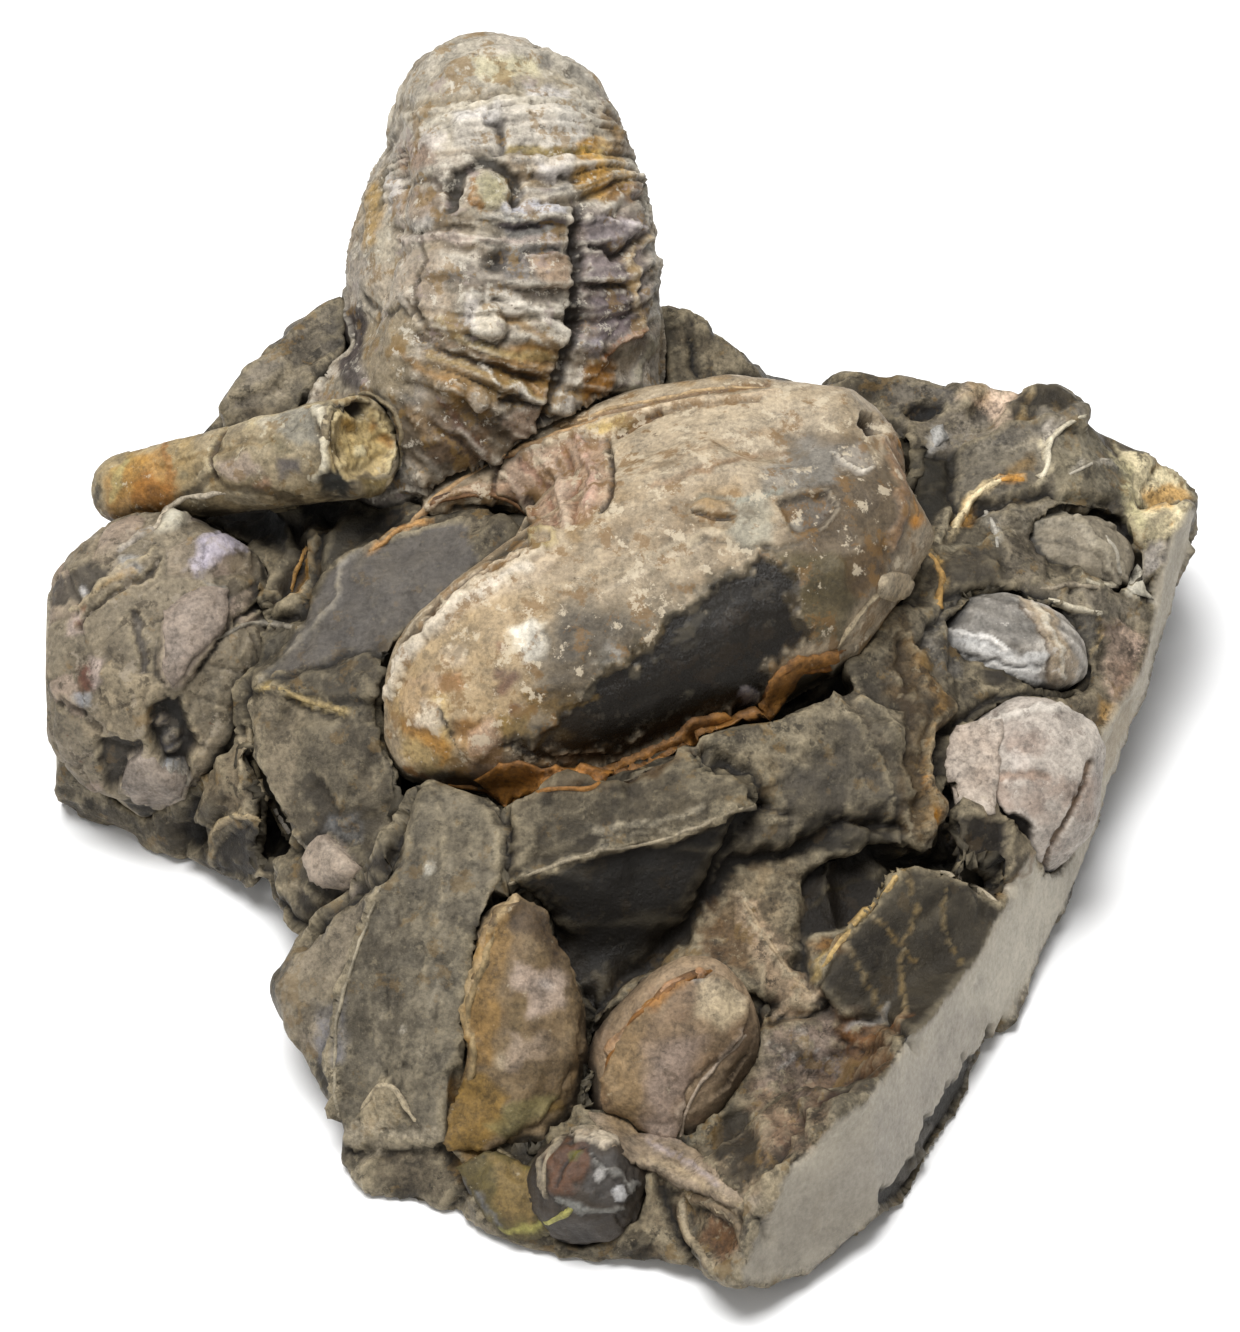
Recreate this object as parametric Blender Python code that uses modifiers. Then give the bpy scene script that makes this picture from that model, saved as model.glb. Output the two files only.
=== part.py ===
"""Cluster of ammonite fossils in a block of dark mudstone.

A standing ribbed ammonite, a reclining smooth one, a straight-shelled one (a baculite), a worn one and several
smaller shells sit in pockets of one broken block of matrix, which is sawn flat underneath, on its right and on its
left. Run it with: blender --background --python part.py
"""

import math

import bmesh
import bpy
from mathutils import Vector, noise

MM = 0.001  # the helpers work in millimetres, and Blender's scene is in metres

# The block is laid out on a perspective sheet, the way a draughtsman would draw it from above its front. A spot is
# (dots across, dots down, height above the base in mm), and its place is where the sight line meets that height.
SHEET_MIDDLE = (620, 666)  # dots
SHEET_FOCUS = 3700  # dots from the eye to the sheet, so that a dot is about 0.15 mm on the block
EYE_DISTANCE = 560  # mm, from the eye to the point that it looks at
EYE_RISE = math.radians(40)
LOOKED_AT = Vector((0, 0, 35))
TOWARDS_EYE = Vector((0, -math.cos(EYE_RISE), math.sin(EYE_RISE)))
SHEET_UP = Vector((0, math.sin(EYE_RISE), math.cos(EYE_RISE)))
SHEET_RIGHT = Vector((1, 0, 0))
EYE = LOOKED_AT + TOWARDS_EYE * EYE_DISTANCE

CHUNK_DEPTH = 22  # mm that a chunk of matrix reaches back into the block
CHUNK_TAPER = 0.25  # how much smaller a chunk is at its back
PAST_CUT = 1  # mm that a chunk reaches beyond a saw cut before it is trimmed
MELT = 1.0  # mm, how fine the skin is that overlapping shapes melt into
COARSE_RELIEF = (11, 0.9)  # the matrix's broken surface: the size of its lumps and their height, in mm
FINE_RELIEF = (5, 0.6)
MATRIX_TRIANGLES = 3200  # before the pockets are cut

# Saw cuts. Each is (a point on the cut in mm, the direction that was cut away).
BASE_CUT = (Vector((0, 0, 0)), Vector((0, 0, -1)))
RIGHT_CUT = (Vector((56.4, -43.5, 4)), Vector((0.871, -0.444, 0.208)).normalized())
TOE_CUT = (Vector((34.2, -78, 23.4)), Vector((0.62, -0.74, 0.257)).normalized())
LEFT_CUT = (Vector((-88.5, 0, 0)), Vector((-1, -0.05, 0.02)).normalized())

# The standing ammonite is a coil that opens downwards to the front.
STANDING_CENTRE = (482, 236, 67)
STANDING_FRONT_RADIUS = 30  # mm from the coil's centre to its outer rim, towards the front
STANDING_HALF_BREADTH = 20.5  # mm, at the front
STANDING_GROWTH = 3.4  # how much the coil grows in a turn
STANDING_STRETCH = 1.38  # the oval coil's height over its depth
STANDING_YAW = math.radians(27)  # how far its rim is turned to the right
STANDING_HUB = (475, 284, 61.5)  # the coil's filled middle
STANDING_HUB_SIZE = (24, 29, 20)  # mm, from its middle to the front, to the top and to a flank
RIB_STEP = math.radians(12.5)
RIB_HEIGHT = 0.8
KNOB_STEP = math.radians(21)
KNOB_ROW = math.radians(42)  # from the middle of the rim to each row of knobs
KNOBS = 11  # in a row
KNOB_RADIUS = 2.0


def spot(across, down, height):
    """The point in mm, at that height, on the sight line through a dot of the sheet."""
    sight = (
        SHEET_RIGHT * ((across - SHEET_MIDDLE[0]) / SHEET_FOCUS)
        + SHEET_UP * ((SHEET_MIDDLE[1] - down) / SHEET_FOCUS)
        - TOWARDS_EYE
    )
    return EYE + sight * ((height - EYE.z) / sight.z)


# ---------------------------------------------------------------- the matrix, as chunks between its joints

CORES = {  # broken bodies that hold the chunks together, with their corners in mm: x, y, height
    "core_front": [
        (14, -84, -6), (-8, -80, -6), (-32, -64, -6), (-34, -40, -6), (-30, 20, -6), (58, -14, -6), (42, -52, -6),
        (28, -74, -6), (28, -78, 6), (-4, -72, 12), (-24, -52, 18), (-26, -24, 30), (40, -30, 26), (60, 2, 24),
        (-30, 20, 38), (50, 20, 38),
    ],
    "core_left": [
        (-80, 12, -6), (-68, 2, -6), (-50, -12, -6), (-30, -18, -6), (-20, 30, -6), (-70, 42, -6), (-82, 14, 22),
        (-62, 0, 25), (-46, -10, 20), (-20, 30, 44), (-74, 42, 36), (-58, 14, 40), (-30, 0, 38),
    ],
    "core_middle": [
        (-60, 20, -6), (66, -4, -6), (72, 40, -6), (30, 74, -6), (-20, 76, -6), (-58, 52, -6), (-52, 20, 42),
        (74, 14, 22), (78, 40, 26), (44, 66, 38), (-20, 70, 46), (-56, 52, 45), (0, 10, 44),
    ],
    "back_right": [
        (66, 20, -6), (78, 50, -6), (56, 72, -6), (30, 70, -6), (80, 18, 26), (88, 52, 20), (86, 60, 8), (62, 80, 14),
        (54, 74, 30), (30, 64, 40), (84, 46, 27),
    ],
    "back_middle": [
        (40, 60, -6), (34, 80, -6), (0, 88, -6), (-16, 80, -6), (44, 78, 12), (24, 90, 20), (-4, 94, 24), (-14, 88, 10),
        (30, 78, 29), (0, 84, 40), (-14, 70, 44),
    ],
    "back_left_wall": [
        (-6, 76, -6), (-30, 80, -6), (-60, 58, -6), (-66, 40, -6), (-16, 88, 16), (-42, 84, 12), (-66, 62, 18),
        (-75, 48, 26), (-20, 84, 44), (-44, 78, 46), (-66, 52, 42), (-50, 60, 52), (-34, 68, 54),
    ],
    "back_spall": [
        (4, 70, 22), (34, 74, 24), (52, 72, 10), (20, 88, 6), (26, 92, 22), (48, 82, 24), (14, 82, 32), (40, 72, 33),
        (30, 80, -6),
    ],
}

CHUNKS = {  # exposed corners, as spots of the sheet
    # left front
    "slab_face": [
        (408, 782, 37), (455, 790, 38), (498, 800, 38), (505, 882, 34), (478, 960, 28), (455, 1060, 19),
        (440, 1150, 9), (352, 1142, 5), (330, 1090, 9), (338, 1000, 19), (352, 940, 25), (375, 880, 31),
    ],
    "slab_flank": [
        (400, 850, 31), (345, 890, 24), (300, 936, 19), (270, 990, 15), (300, 1050, 9), (330, 1100, 7),
        (345, 1040, 16), (370, 880, 30),
    ],
    "slab_foot": [
        (350, 1120, 7), (340, 1160, 2), (380, 1190, 1), (405, 1203, 0), (455, 1210, 1), (470, 1160, 8),
        (440, 1120, 11), (385, 1070, 14),
    ],
    "wedge_top": [
        (505, 800, 40), (600, 775, 41), (690, 745, 43), (735, 770, 42), (762, 800, 40), (700, 830, 36),
        (600, 850, 35), (512, 885, 33), (505, 840, 37),
    ],
    "wedge_face": [
        (512, 885, 33), (600, 850, 35), (700, 825, 36), (755, 806, 38), (715, 880, 27), (690, 940, 21),
        (640, 965, 18), (600, 988, 16), (575, 950, 19), (545, 905, 26),
    ],
    "mid_top": [
        (330, 565, 42), (370, 535, 45), (470, 505, 48), (530, 535, 47), (480, 580, 45), (410, 650, 42),
        (385, 700, 40), (300, 700, 36), (255, 688, 35), (290, 630, 38), (315, 590, 41),
    ],
    "mid_face": [
        (255, 690, 34), (300, 703, 34), (350, 712, 35), (390, 700, 38), (410, 770, 34), (395, 800, 30),
        (330, 845, 22), (297, 848, 20), (275, 800, 24), (252, 740, 29),
    ],
    "mid_foot": [
        (300, 850, 19), (390, 800, 27), (405, 790, 31), (395, 850, 26), (350, 885, 18), (300, 932, 11),
        (272, 905, 9), (262, 880, 11), (280, 855, 16),
    ],
    "gully_rib": [
        (215, 655, 31), (250, 630, 35), (310, 610, 39), (300, 660, 36), (255, 690, 33), (250, 740, 27),
        (240, 760, 24), (200, 690, 28),
    ],
    "left_foot": [
        (44, 735, 12), (48, 790, 5), (60, 803, 1), (95, 817, 0), (140, 842, 1), (185, 860, 2), (195, 790, 12),
        (150, 730, 20), (90, 730, 20),
    ],
    "gully_low": [
        (185, 700, 26), (205, 690, 27), (245, 750, 24), (265, 800, 21), (262, 880, 10), (235, 890, 3),
        (182, 852, 4), (180, 800, 12), (190, 745, 21),
    ],
    "hollow_back": [
        (290, 560, 40), (310, 525, 44), (345, 520, 45), (430, 500, 46), (390, 560, 43), (310, 640, 37),
        (240, 640, 34), (260, 610, 36),
    ],
    "saddle": [
        (395, 400, 50), (470, 400, 53), (560, 400, 52), (600, 430, 48), (480, 480, 48), (430, 520, 46),
        (380, 540, 44), (350, 510, 44), (340, 440, 47),
    ],
    # behind
    "back_left": [
        (222, 408, 52), (250, 366, 56), (292, 326, 58), (338, 300, 60), (352, 340, 56), (360, 420, 50),
        (300, 440, 48), (230, 440, 48),
    ],
    "back_spur": [
        (640, 330, 57), (660, 308, 60), (690, 320, 58), (702, 318, 59), (708, 352, 55), (740, 372, 51),
        (770, 388, 49), (700, 430, 46), (630, 410, 50),
    ],
    "back_ledge": [
        (812, 392, 48), (838, 374, 50), (905, 384, 48), (955, 388, 46), (1000, 392, 45), (1030, 398, 44),
        (1000, 440, 42), (930, 450, 42), (880, 440, 44),
    ],
    # right
    "right_crest": [
        (1015, 402, 47), (1030, 386, 49), (1055, 384, 49), (1078, 398, 47), (1100, 425, 43), (1128, 455, 39),
        (1138, 520, 33), (1105, 512, 38), (1060, 508, 40), (1000, 520, 40), (955, 500, 41), (960, 455, 43),
        (990, 430, 44),
    ],
    "right_neck": [
        (900, 425, 46), (955, 420, 44), (962, 500, 42), (945, 560, 41), (905, 548, 43), (920, 510, 44),
    ],
    "right_corner": [
        (1100, 432, 39), (1140, 450, 36), (1162, 462, 34), (1188, 488, 29), (1192, 512, 24), (1165, 590, 20),
        (1135, 540, 28), (1115, 480, 36),
    ],
    "right_shelf": [
        (900, 540, 43), (965, 503, 41), (1000, 518, 40), (1010, 590, 38), (1060, 600, 36), (1145, 610, 28),
        (1150, 640, 23), (1140, 560, 29), (1100, 520, 34), (960, 600, 38), (905, 610, 41),
    ],
    "right_step": [
        (1075, 600, 33), (1148, 625, 25), (1142, 680, 21), (1122, 715, 20), (1080, 700, 25), (1060, 650, 31),
    ],
    "right_low": [
        (940, 600, 38), (945, 690, 33), (950, 760, 30), (955, 860, 26), (1010, 895, 20), (1060, 820, 20),
        (1110, 720, 21), (1060, 690, 29), (1000, 600, 36),
    ],
    "grey_slope": [
        (688, 745, 43), (760, 720, 43), (860, 690, 41), (895, 740, 38), (915, 840, 29), (850, 840, 29),
        (790, 850, 30), (700, 930, 23), (735, 850, 32), (762, 800, 37),
    ],
    "grey_neck": [
        (850, 640, 44), (905, 600, 43), (945, 610, 40), (950, 690, 35), (945, 770, 32), (930, 850, 27),
        (900, 840, 29), (880, 720, 38), (840, 670, 42),
    ],
    # along the sawn right side: spots with no height lie on the cut
    "bank_high": [
        (1083, 786), (1103, 734), (1121, 703), (1139, 683), (1150, 644), (1099, 805), (1115, 746), (1127, 715),
        (1150, 660), (1040, 700, 28), (1090, 640, 29), (1030, 780, 22), (1070, 720, 25),
    ],
    "bank_back": [
        (1150, 644), (1154, 616), (1174, 533), (1186, 498), (1152, 650), (1178, 573), (1186, 545), (1192, 506),
        (1130, 520, 34), (1120, 600, 30), (1110, 560, 32),
    ],
    "bank_middle": [
        (982, 947), (1009, 903), (1032, 869), (1052, 817), (1083, 786), (993, 1036), (1040, 940), (1068, 892),
        (1099, 805), (940, 900, 19), (1000, 830, 20), (1035, 780, 22), (950, 960, 13),
    ],
    "bank_low": [
        (863, 1113), (878, 1076), (915, 1043), (959, 991), (982, 947), (882, 1211), (915, 1195), (952, 1110),
        (974, 1069), (993, 1036), (800, 1130, 10), (850, 1060, 13), (930, 950, 17), (830, 1180, 3),
    ],
    "bank_rubble": [
        (870, 1205, 5), (905, 1190, 3), (930, 1130, 3), (955, 1095, 4), (985, 1040, 5), (900, 1100, 8), (940, 1040, 9),
        (880, 1150, 4),
    ],
    # lower front
    "vein_block": [
        (812, 985, 22), (850, 935, 25), (905, 872, 28), (945, 868, 27), (1003, 905, 20), (985, 945, 17),
        (955, 995, 14), (918, 1042, 12), (880, 1050, 14), (830, 1015, 19),
    ],
    "cavity_sill": [
        (790, 850, 29), (830, 835, 30), (800, 880, 26), (795, 930, 23), (825, 965, 21), (845, 940, 22),
        (760, 960, 21), (735, 880, 27),
    ],
    "cavity_back": [
        (800, 860, 24), (915, 850, 24), (900, 880, 21), (830, 945, 17), (795, 930, 18),
    ],
    "shell_bed": [
        (700, 930, 22), (740, 880, 26), (790, 960, 22), (830, 1010, 18), (915, 1045, 12), (860, 1110, 8),
        (800, 1180, 4), (740, 1190, 4), (650, 1150, 8), (600, 1120, 11), (600, 1010, 16), (640, 965, 19),
    ],
    "toe": [
        (660, 1140, 9), (700, 1190, 10), (700, 1270, 3), (640, 1259, 0), (550, 1256, 0), (520, 1236, 1),
        (490, 1228, 2), (470, 1180, 7), (540, 1120, 11),
    ],
    "toe_bank": [
        (690, 1170, 13), (745, 1120, 17), (800, 1090, 19), (870, 1080, 25), (850, 1116, 24), (832, 1138, 22),
        (800, 1160, 22), (768, 1224, 15.5), (755, 1255, 12.5), (741, 1291, 8.5), (780, 1286, 5.5),
        (816, 1279, 2.5), (850, 1245, 4.5), (884, 1208, 6), (700, 1262, 5),
    ],
    "front_gap": [
        (470, 960, 24), (500, 905, 29), (560, 905, 26), (600, 990, 15), (600, 1120, 8), (540, 1150, 5),
        (460, 1205, 2), (478, 1222, 1), (450, 1090, 12),
    ],
}


def clear_scene():
    for obj in list(bpy.data.objects):
        bpy.data.objects.remove(obj)


def new_object(name, mesh, collection):
    obj = bpy.data.objects.new(name, mesh)
    collection.objects.link(obj)
    return obj


def add_shape(whole, shape):
    """Adds a closed bmesh to another one, and frees it."""
    bmesh.ops.recalc_face_normals(shape, faces=shape.faces)
    twin = {vert: whole.verts.new(vert.co) for vert in shape.verts}
    for face in shape.faces:
        whole.faces.new([twin[vert] for vert in face.verts])
    shape.free()


def to_mesh(name, shape):
    """Turns a bmesh in mm into a mesh in metres, and frees it."""
    bmesh.ops.scale(shape, vec=(MM, MM, MM), verts=shape.verts)
    mesh = bpy.data.meshes.new(name)
    shape.to_mesh(mesh)
    shape.free()
    return mesh


def make_helper(obj):
    obj.hide_render = True
    obj.display_type = "WIRE"


def material(name, colour, roughness):
    """A plain Principled material with this linear colour."""
    made = bpy.data.materials.new(name)
    made.use_nodes = True
    shader = made.node_tree.nodes["Principled BSDF"]
    shader.inputs["Base Color"].default_value = (*colour, 1)
    shader.inputs["Roughness"].default_value = roughness
    shader.inputs["Metallic"].default_value = 0.0
    made.diffuse_color = (*colour, 1)
    return made


# ---------------------------------------------------------------- shapes


def hull(points):
    """A bmesh of the convex hull of these points, as triangles."""
    shape = bmesh.new()
    for point in points:
        shape.verts.new(point)
    bmesh.ops.convex_hull(shape, input=shape.verts)
    bmesh.ops.delete(shape, geom=[v for v in shape.verts if not v.link_faces], context="VERTS")
    return shape


def on_right_cut(across, down):
    """The point where the sight line through this dot meets the sawn right side."""
    sight = spot(across, down, 0) - EYE
    point, outwards = RIGHT_CUT
    return EYE + sight * ((point - EYE).dot(outwards) / sight.dot(outwards))


def chunk(corners):
    """A block between joints: the hull of its exposed corners and of their copies further from the eye."""
    exposed = [spot(*corner) if len(corner) == 3 else on_right_cut(*corner) for corner in corners]
    middle = sum(exposed, Vector()) / len(exposed)
    points = []
    for corner, place in zip(corners, exposed):
        past = RIGHT_CUT[1] * (PAST_CUT if len(corner) == 2 else 0)
        behind = place + (place - EYE).normalized() * CHUNK_DEPTH
        points += [place, place + past, behind.lerp(middle - TOWARDS_EYE * CHUNK_DEPTH, CHUNK_TAPER)]
    return hull(points)


def rough_matrix(collection):
    """All the chunks melted into one skin, with a broken surface."""
    whole = bmesh.new()
    for corners in CORES.values():
        add_shape(whole, hull([Vector(corner) for corner in corners]))
    for corners in CHUNKS.values():
        add_shape(whole, chunk(corners))
    matrix = new_object("matrix", to_mesh("matrix", whole), collection)
    melted(matrix, MELT)
    normals = [vert.normal.copy() for vert in matrix.data.vertices]
    for vert, normal in zip(matrix.data.vertices, normals):
        place = vert.co / MM
        coarse = COARSE_RELIEF[1] * noise.noise(place / COARSE_RELIEF[0])
        fine = FINE_RELIEF[1] * noise.noise(place / FINE_RELIEF[0] + Vector((7, 3, 1)))
        vert.co += normal * MM * (coarse + fine)
    thinned(matrix, MATRIX_TRIANGLES)
    return matrix


def trim_block(collection):
    """The space between the saw cuts: a large cube, cut by each of their planes."""
    shape = bmesh.new()
    bmesh.ops.create_cube(shape, size=400)
    for point, outwards in (BASE_CUT, RIGHT_CUT, TOE_CUT, LEFT_CUT):
        everything = list(shape.verts) + list(shape.edges) + list(shape.faces)
        cut = bmesh.ops.bisect_plane(
            shape, geom=everything, plane_co=point, plane_no=outwards, clear_outer=True
        )
        rim = [e for e in cut["geom_cut"] if isinstance(e, bmesh.types.BMEdge)]
        bmesh.ops.contextual_create(shape, geom=rim)
    bmesh.ops.triangulate(shape, faces=shape.faces)
    block = new_object("trim_block", to_mesh("trim_block", shape), collection)
    make_helper(block)
    return block


def loft(rings):
    """A closed bmesh through rings of equally many points, with a fan over each end."""
    shape = bmesh.new()
    made = [[shape.verts.new(point) for point in ring] for ring in rings]
    count = len(rings[0])
    for here, there in zip(made, made[1:]):
        for i in range(count):
            j = (i + 1) % count
            shape.faces.new((here[i], here[j], there[j], there[i]))
    for ring in (made[0], made[-1]):
        tip = shape.verts.new(sum((v.co for v in ring), Vector()) / count)
        for i in range(count):
            shape.faces.new((ring[i], ring[(i + 1) % count], tip))
    bmesh.ops.recalc_face_normals(shape, faces=shape.faces)
    return shape


def superellipse(angle, power):
    """A point of the unit superellipse at about that angle."""
    c, s = math.cos(angle), math.sin(angle)
    return math.copysign(abs(c) ** (2 / power), c), math.copysign(abs(s) ** (2 / power), s)


def add_ball(shape, centre, radius):
    ball = bmesh.new()
    bmesh.ops.create_icosphere(ball, subdivisions=2, radius=radius)
    bmesh.ops.translate(ball, vec=centre, verts=ball.verts)
    add_shape(shape, ball)


def standing_coil():
    """The ribbed coil with its two rows of knobs, as a bmesh whose turns overlap until they are remeshed."""
    front = TOWARDS_EYE * math.cos(STANDING_YAW) + SHEET_RIGHT * math.sin(STANDING_YAW)
    side = SHEET_UP.cross(front)
    centre = spot(*STANDING_CENTRE)

    def on_shell(turn, around, lift=0.0):
        """A point of the whorl: turn is 0 at the front and grows over the top, around is 0 on the rim."""
        outer = STANDING_FRONT_RADIUS * STANDING_GROWTH ** (-turn / math.tau)
        half_breadth = STANDING_HALF_BREADTH * STANDING_GROWTH ** (-turn / math.tau)
        out, across = superellipse(around, 2.1)
        radius = outer * (0.6 + 0.4 * out) + lift * math.cos(around)
        breadth = (half_breadth + lift) * across
        spoke = front * math.cos(turn) + SHEET_UP * (STANDING_STRETCH * math.sin(turn))
        return centre + spoke * radius + side * breadth

    rings = []
    first, last = math.radians(-105), math.radians(500)
    step = math.radians(3)
    for i in range(round((last - first) / step)):
        turn = first + i * step
        wave = math.cos(turn / RIB_STEP * math.tau)
        ring = []
        for k in range(32):
            around = k * math.tau / 32
            outside = max(0.0, math.cos(around * 0.8 if around < math.pi else (math.tau - around) * 0.8))
            ring.append(on_shell(turn, around, RIB_HEIGHT * wave * outside))
        rings.append(ring)
    shape = loft(rings)
    hub = bmesh.new()
    bmesh.ops.create_icosphere(hub, subdivisions=3, radius=1)
    deep, high, broad = STANDING_HUB_SIZE
    for vert in hub.verts:
        x, y, z = vert.co
        vert.co = spot(*STANDING_HUB) + front * (x * deep) + SHEET_UP * (y * high) + side * (z * broad)
    add_shape(shape, hub)
    for row in (-1, 1):
        for i in range(KNOBS):
            turn = math.radians(-60) + i * KNOB_STEP
            scale = STANDING_GROWTH ** (-turn / math.tau)
            add_ball(shape, on_shell(turn, row * KNOB_ROW), KNOB_RADIUS * scale)
    return shape


# The reclining ammonite's limb, from its open end round to its tip: a spot on its middle line, half its width in the
# plane of the coil and half its thickness, both in mm.
RECLINING_LIMB = [
    (388, 712, 36, 6, 5), (400, 712, 36, 10, 8), (432, 706, 37.5, 13.5, 11), (500, 682, 41, 17, 12.5),
    (590, 640, 44, 19.5, 13.5), (680, 595, 47, 21.5, 14), (775, 548, 50, 21, 14), (826, 508, 51.5, 17.5, 13.5),
    (806, 462, 53, 13.5, 12), (722, 452, 53, 12, 11), (640, 456, 51, 10.5, 10), (570, 468, 49, 8, 8),
    (510, 480, 47.5, 5.6, 6), (460, 493, 46.5, 3.6, 4), (425, 508, 46, 2.2, 2.6),
]
RECLINING_FILL = [  # the fossil's middle and its squared right end: a spot, then half sizes in mm and a turn in degrees
    ((690, 515, 49.5), (28, 15, 11.5), 18),
    ((842, 455, 52), (11, 9, 11), -50),
    ((820, 585, 47.5), (13, 10, 12), 45),
    ((596, 462, 52), (8.5, 5.5, 6), 5),
]
RECLINING_UP = Vector((0.02, -0.52, 0.85)).normalized()  # away from the side that it lies on


def swept_limb(stations, up, power=2.3, points=28):
    """A limb swept along its middle line, whose sections stand square to it."""
    middles = [spot(*s[:3]) for s in stations]
    rings = []
    for i, (middle, station) in enumerate(zip(middles, stations)):
        before, after = middles[max(i - 1, 0)], middles[min(i + 1, len(middles) - 1)]
        across = (after - before).cross(up).normalized()
        ring = []
        for k in range(points):
            c, s = superellipse(k * math.tau / points, power)
            ring.append(middle + across * (c * station[3]) + up * (s * station[4]))
        rings.append(ring)
    return loft(rings)


def reclining_body():
    body = swept_limb(RECLINING_LIMB, RECLINING_UP)
    for centre, half_sizes, degrees in RECLINING_FILL:
        add_shape(body, stretched_ball(centre, half_sizes, math.radians(degrees)))
    return body


# The straight ammonite lies across the left: spots and radii in mm of its narrow and its broken end.
STRAIGHT_NARROW = ((122, 491, 42), 5.7)
STRAIGHT_BROKEN = ((364, 445, 58), 8.1)


def straight_shaft():
    """A tapering shaft with a rounded narrow end and a dished, broken wide end."""
    (narrow, small), (broken, large) = STRAIGHT_NARROW, STRAIGHT_BROKEN
    start, end = spot(*narrow), spot(*broken)
    axis = (end - start).normalized()
    across = axis.cross(SHEET_UP).normalized()
    upright = across.cross(axis)
    profile = [(-4.5, 0.35), (-3, 0.75), (0, 1.0)]  # (mm along the axis, share of the radius)
    profile += [((end - start).length * i / 6, 1.0) for i in range(1, 7)]
    length = (end - start).length
    rings = []
    for along, share in profile + [(length + 0.6, 0.86), (length - 0.8, 0.6), (length - 1.5, 0.3)]:
        taper = min(1, max(0, along / length))
        radius = (small + (large - small) * taper) * share
        ring = []
        for k in range(16):
            turn = k * math.tau / 16
            wobble = 1 + 0.07 * noise.noise(Vector((along / 7, math.cos(turn), math.sin(turn))))
            lean = 0.25 * radius * math.cos(turn) * taper
            ring.append(
                start
                + axis * (along - lean)
                + (across * math.cos(turn) + upright * math.sin(turn)) * (radius * wobble)
            )
        rings.append(ring)
    return loft(rings)


def stretched_ball(centre, half_sizes, turn, lumpiness=0.0, seed=0):
    """An icosphere stretched along the sheet: half sizes in mm across it, up it and towards the eye, turned on it."""
    shape = bmesh.new()
    bmesh.ops.create_icosphere(shape, subdivisions=3, radius=1)
    c, s = math.cos(turn), math.sin(turn)
    along = SHEET_RIGHT * c + SHEET_UP * s
    over = SHEET_UP * c - SHEET_RIGHT * s
    for vert in shape.verts:
        x, y, z = vert.co
        bump = 1 + lumpiness * noise.noise(Vector((x, y, z)) * 1.7 + Vector((seed, 0, 0)))
        vert.co = spot(*centre) + bump * (
            along * (x * half_sizes[0]) + over * (y * half_sizes[1]) + TOWARDS_EYE * (z * half_sizes[2])
        )
    return shape


# Smaller fossils that stand proud of the matrix: middle spot, half sizes in mm, turn in degrees, lumpiness.
LUMPS = {
    "worn_ammonite": ((168, 662, 25), (21, 23, 17), 8, 0.12),
    "pearly_valve": ((1020, 792, 21), (15, 12, 10), 58, 0.10),
    "small_ammonite": ((1002, 648, 30), (13, 8, 9), -8, 0.08),
    "arched_whorl": ((1064, 562, 31), (11, 7.6, 8), 0, 0.08),
    "front_shell": ((520, 1034, 16.5), (9, 19, 7.5), 6, 0.12),
    "tan_shell": ((674, 1056, 14), (10.5, 15.5, 8), -30, 0.12),
    "round_valve": ((586, 1186, 8.5), (8, 8, 6.5), 0, 0.06),
}
LUMP_TRIANGLES = 200

FOSSIL_MATERIALS = {  # linear colour and roughness
    "standing_ammonite": ((0.36, 0.31, 0.25), 0.5),
    "reclining_ammonite": ((0.33, 0.26, 0.18), 0.45),
    "straight_ammonite": ((0.34, 0.26, 0.15), 0.6),
    "worn_ammonite": ((0.23, 0.19, 0.14), 0.65),
    "pearly_valve": ((0.50, 0.43, 0.38), 0.4),
    "small_ammonite": ((0.27, 0.25, 0.22), 0.4),
    "arched_whorl": ((0.15, 0.14, 0.12), 0.6),
    "front_shell": ((0.29, 0.21, 0.14), 0.6),
    "tan_shell": ((0.35, 0.26, 0.19), 0.55),
    "round_valve": ((0.16, 0.15, 0.13), 0.55),
}
MUDSTONE = ((0.12, 0.105, 0.085), 0.8)
TRIANGLES = {"standing_ammonite": 1900, "reclining_ammonite": 900}
# Between each fossil and its pocket, which is coarser: the gap in mm, and the pocket cutter's triangles.
POCKETS = {"standing_ammonite": (1.8, 600), "reclining_ammonite": (0.9, 400), "straight_ammonite": (0.7, 200)}
LUMP_POCKET = (0.8, 110)
POCKET_MELT = 1.4  # mm, the same as MELT for the two coiled fossils' pockets
REACHES_CUT = ["worn_ammonite"]  # sawn through with the block
LIES_AGAINST = {  # a fossil, and the ones whose shape is pressed into it
    "standing_ammonite": ["reclining_ammonite", "straight_ammonite"],
    "worn_ammonite": ["straight_ammonite"],
}


def with_modifiers(obj):
    """Replaces an object's mesh with what its modifiers make of it."""
    bpy.context.view_layer.update()
    graph = bpy.context.evaluated_depsgraph_get()
    obj.data = bpy.data.meshes.new_from_object(obj.evaluated_get(graph))
    obj.modifiers.clear()


def melted(obj, voxel):
    """Melts an object's overlapping shapes into one skin."""
    remesh = obj.modifiers.new("melt", "REMESH")
    remesh.mode = "VOXEL"
    remesh.voxel_size = voxel * MM
    with_modifiers(obj)


def thinned(obj, triangles):
    """Leaves about that many triangles, with the most where the surface turns."""
    now = sum(len(face.vertices) - 2 for face in obj.data.polygons)
    decimate = obj.modifiers.new("thin_out", "DECIMATE")
    decimate.ratio = min(1, triangles / now)
    decimate.use_collapse_triangulate = True
    with_modifiers(obj)


def add_boolean(obj, operation, other):
    modifier = obj.modifiers.new(operation.lower(), "BOOLEAN")
    modifier.operation = operation
    modifier.solver = "EXACT"
    modifier.object = other


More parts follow.
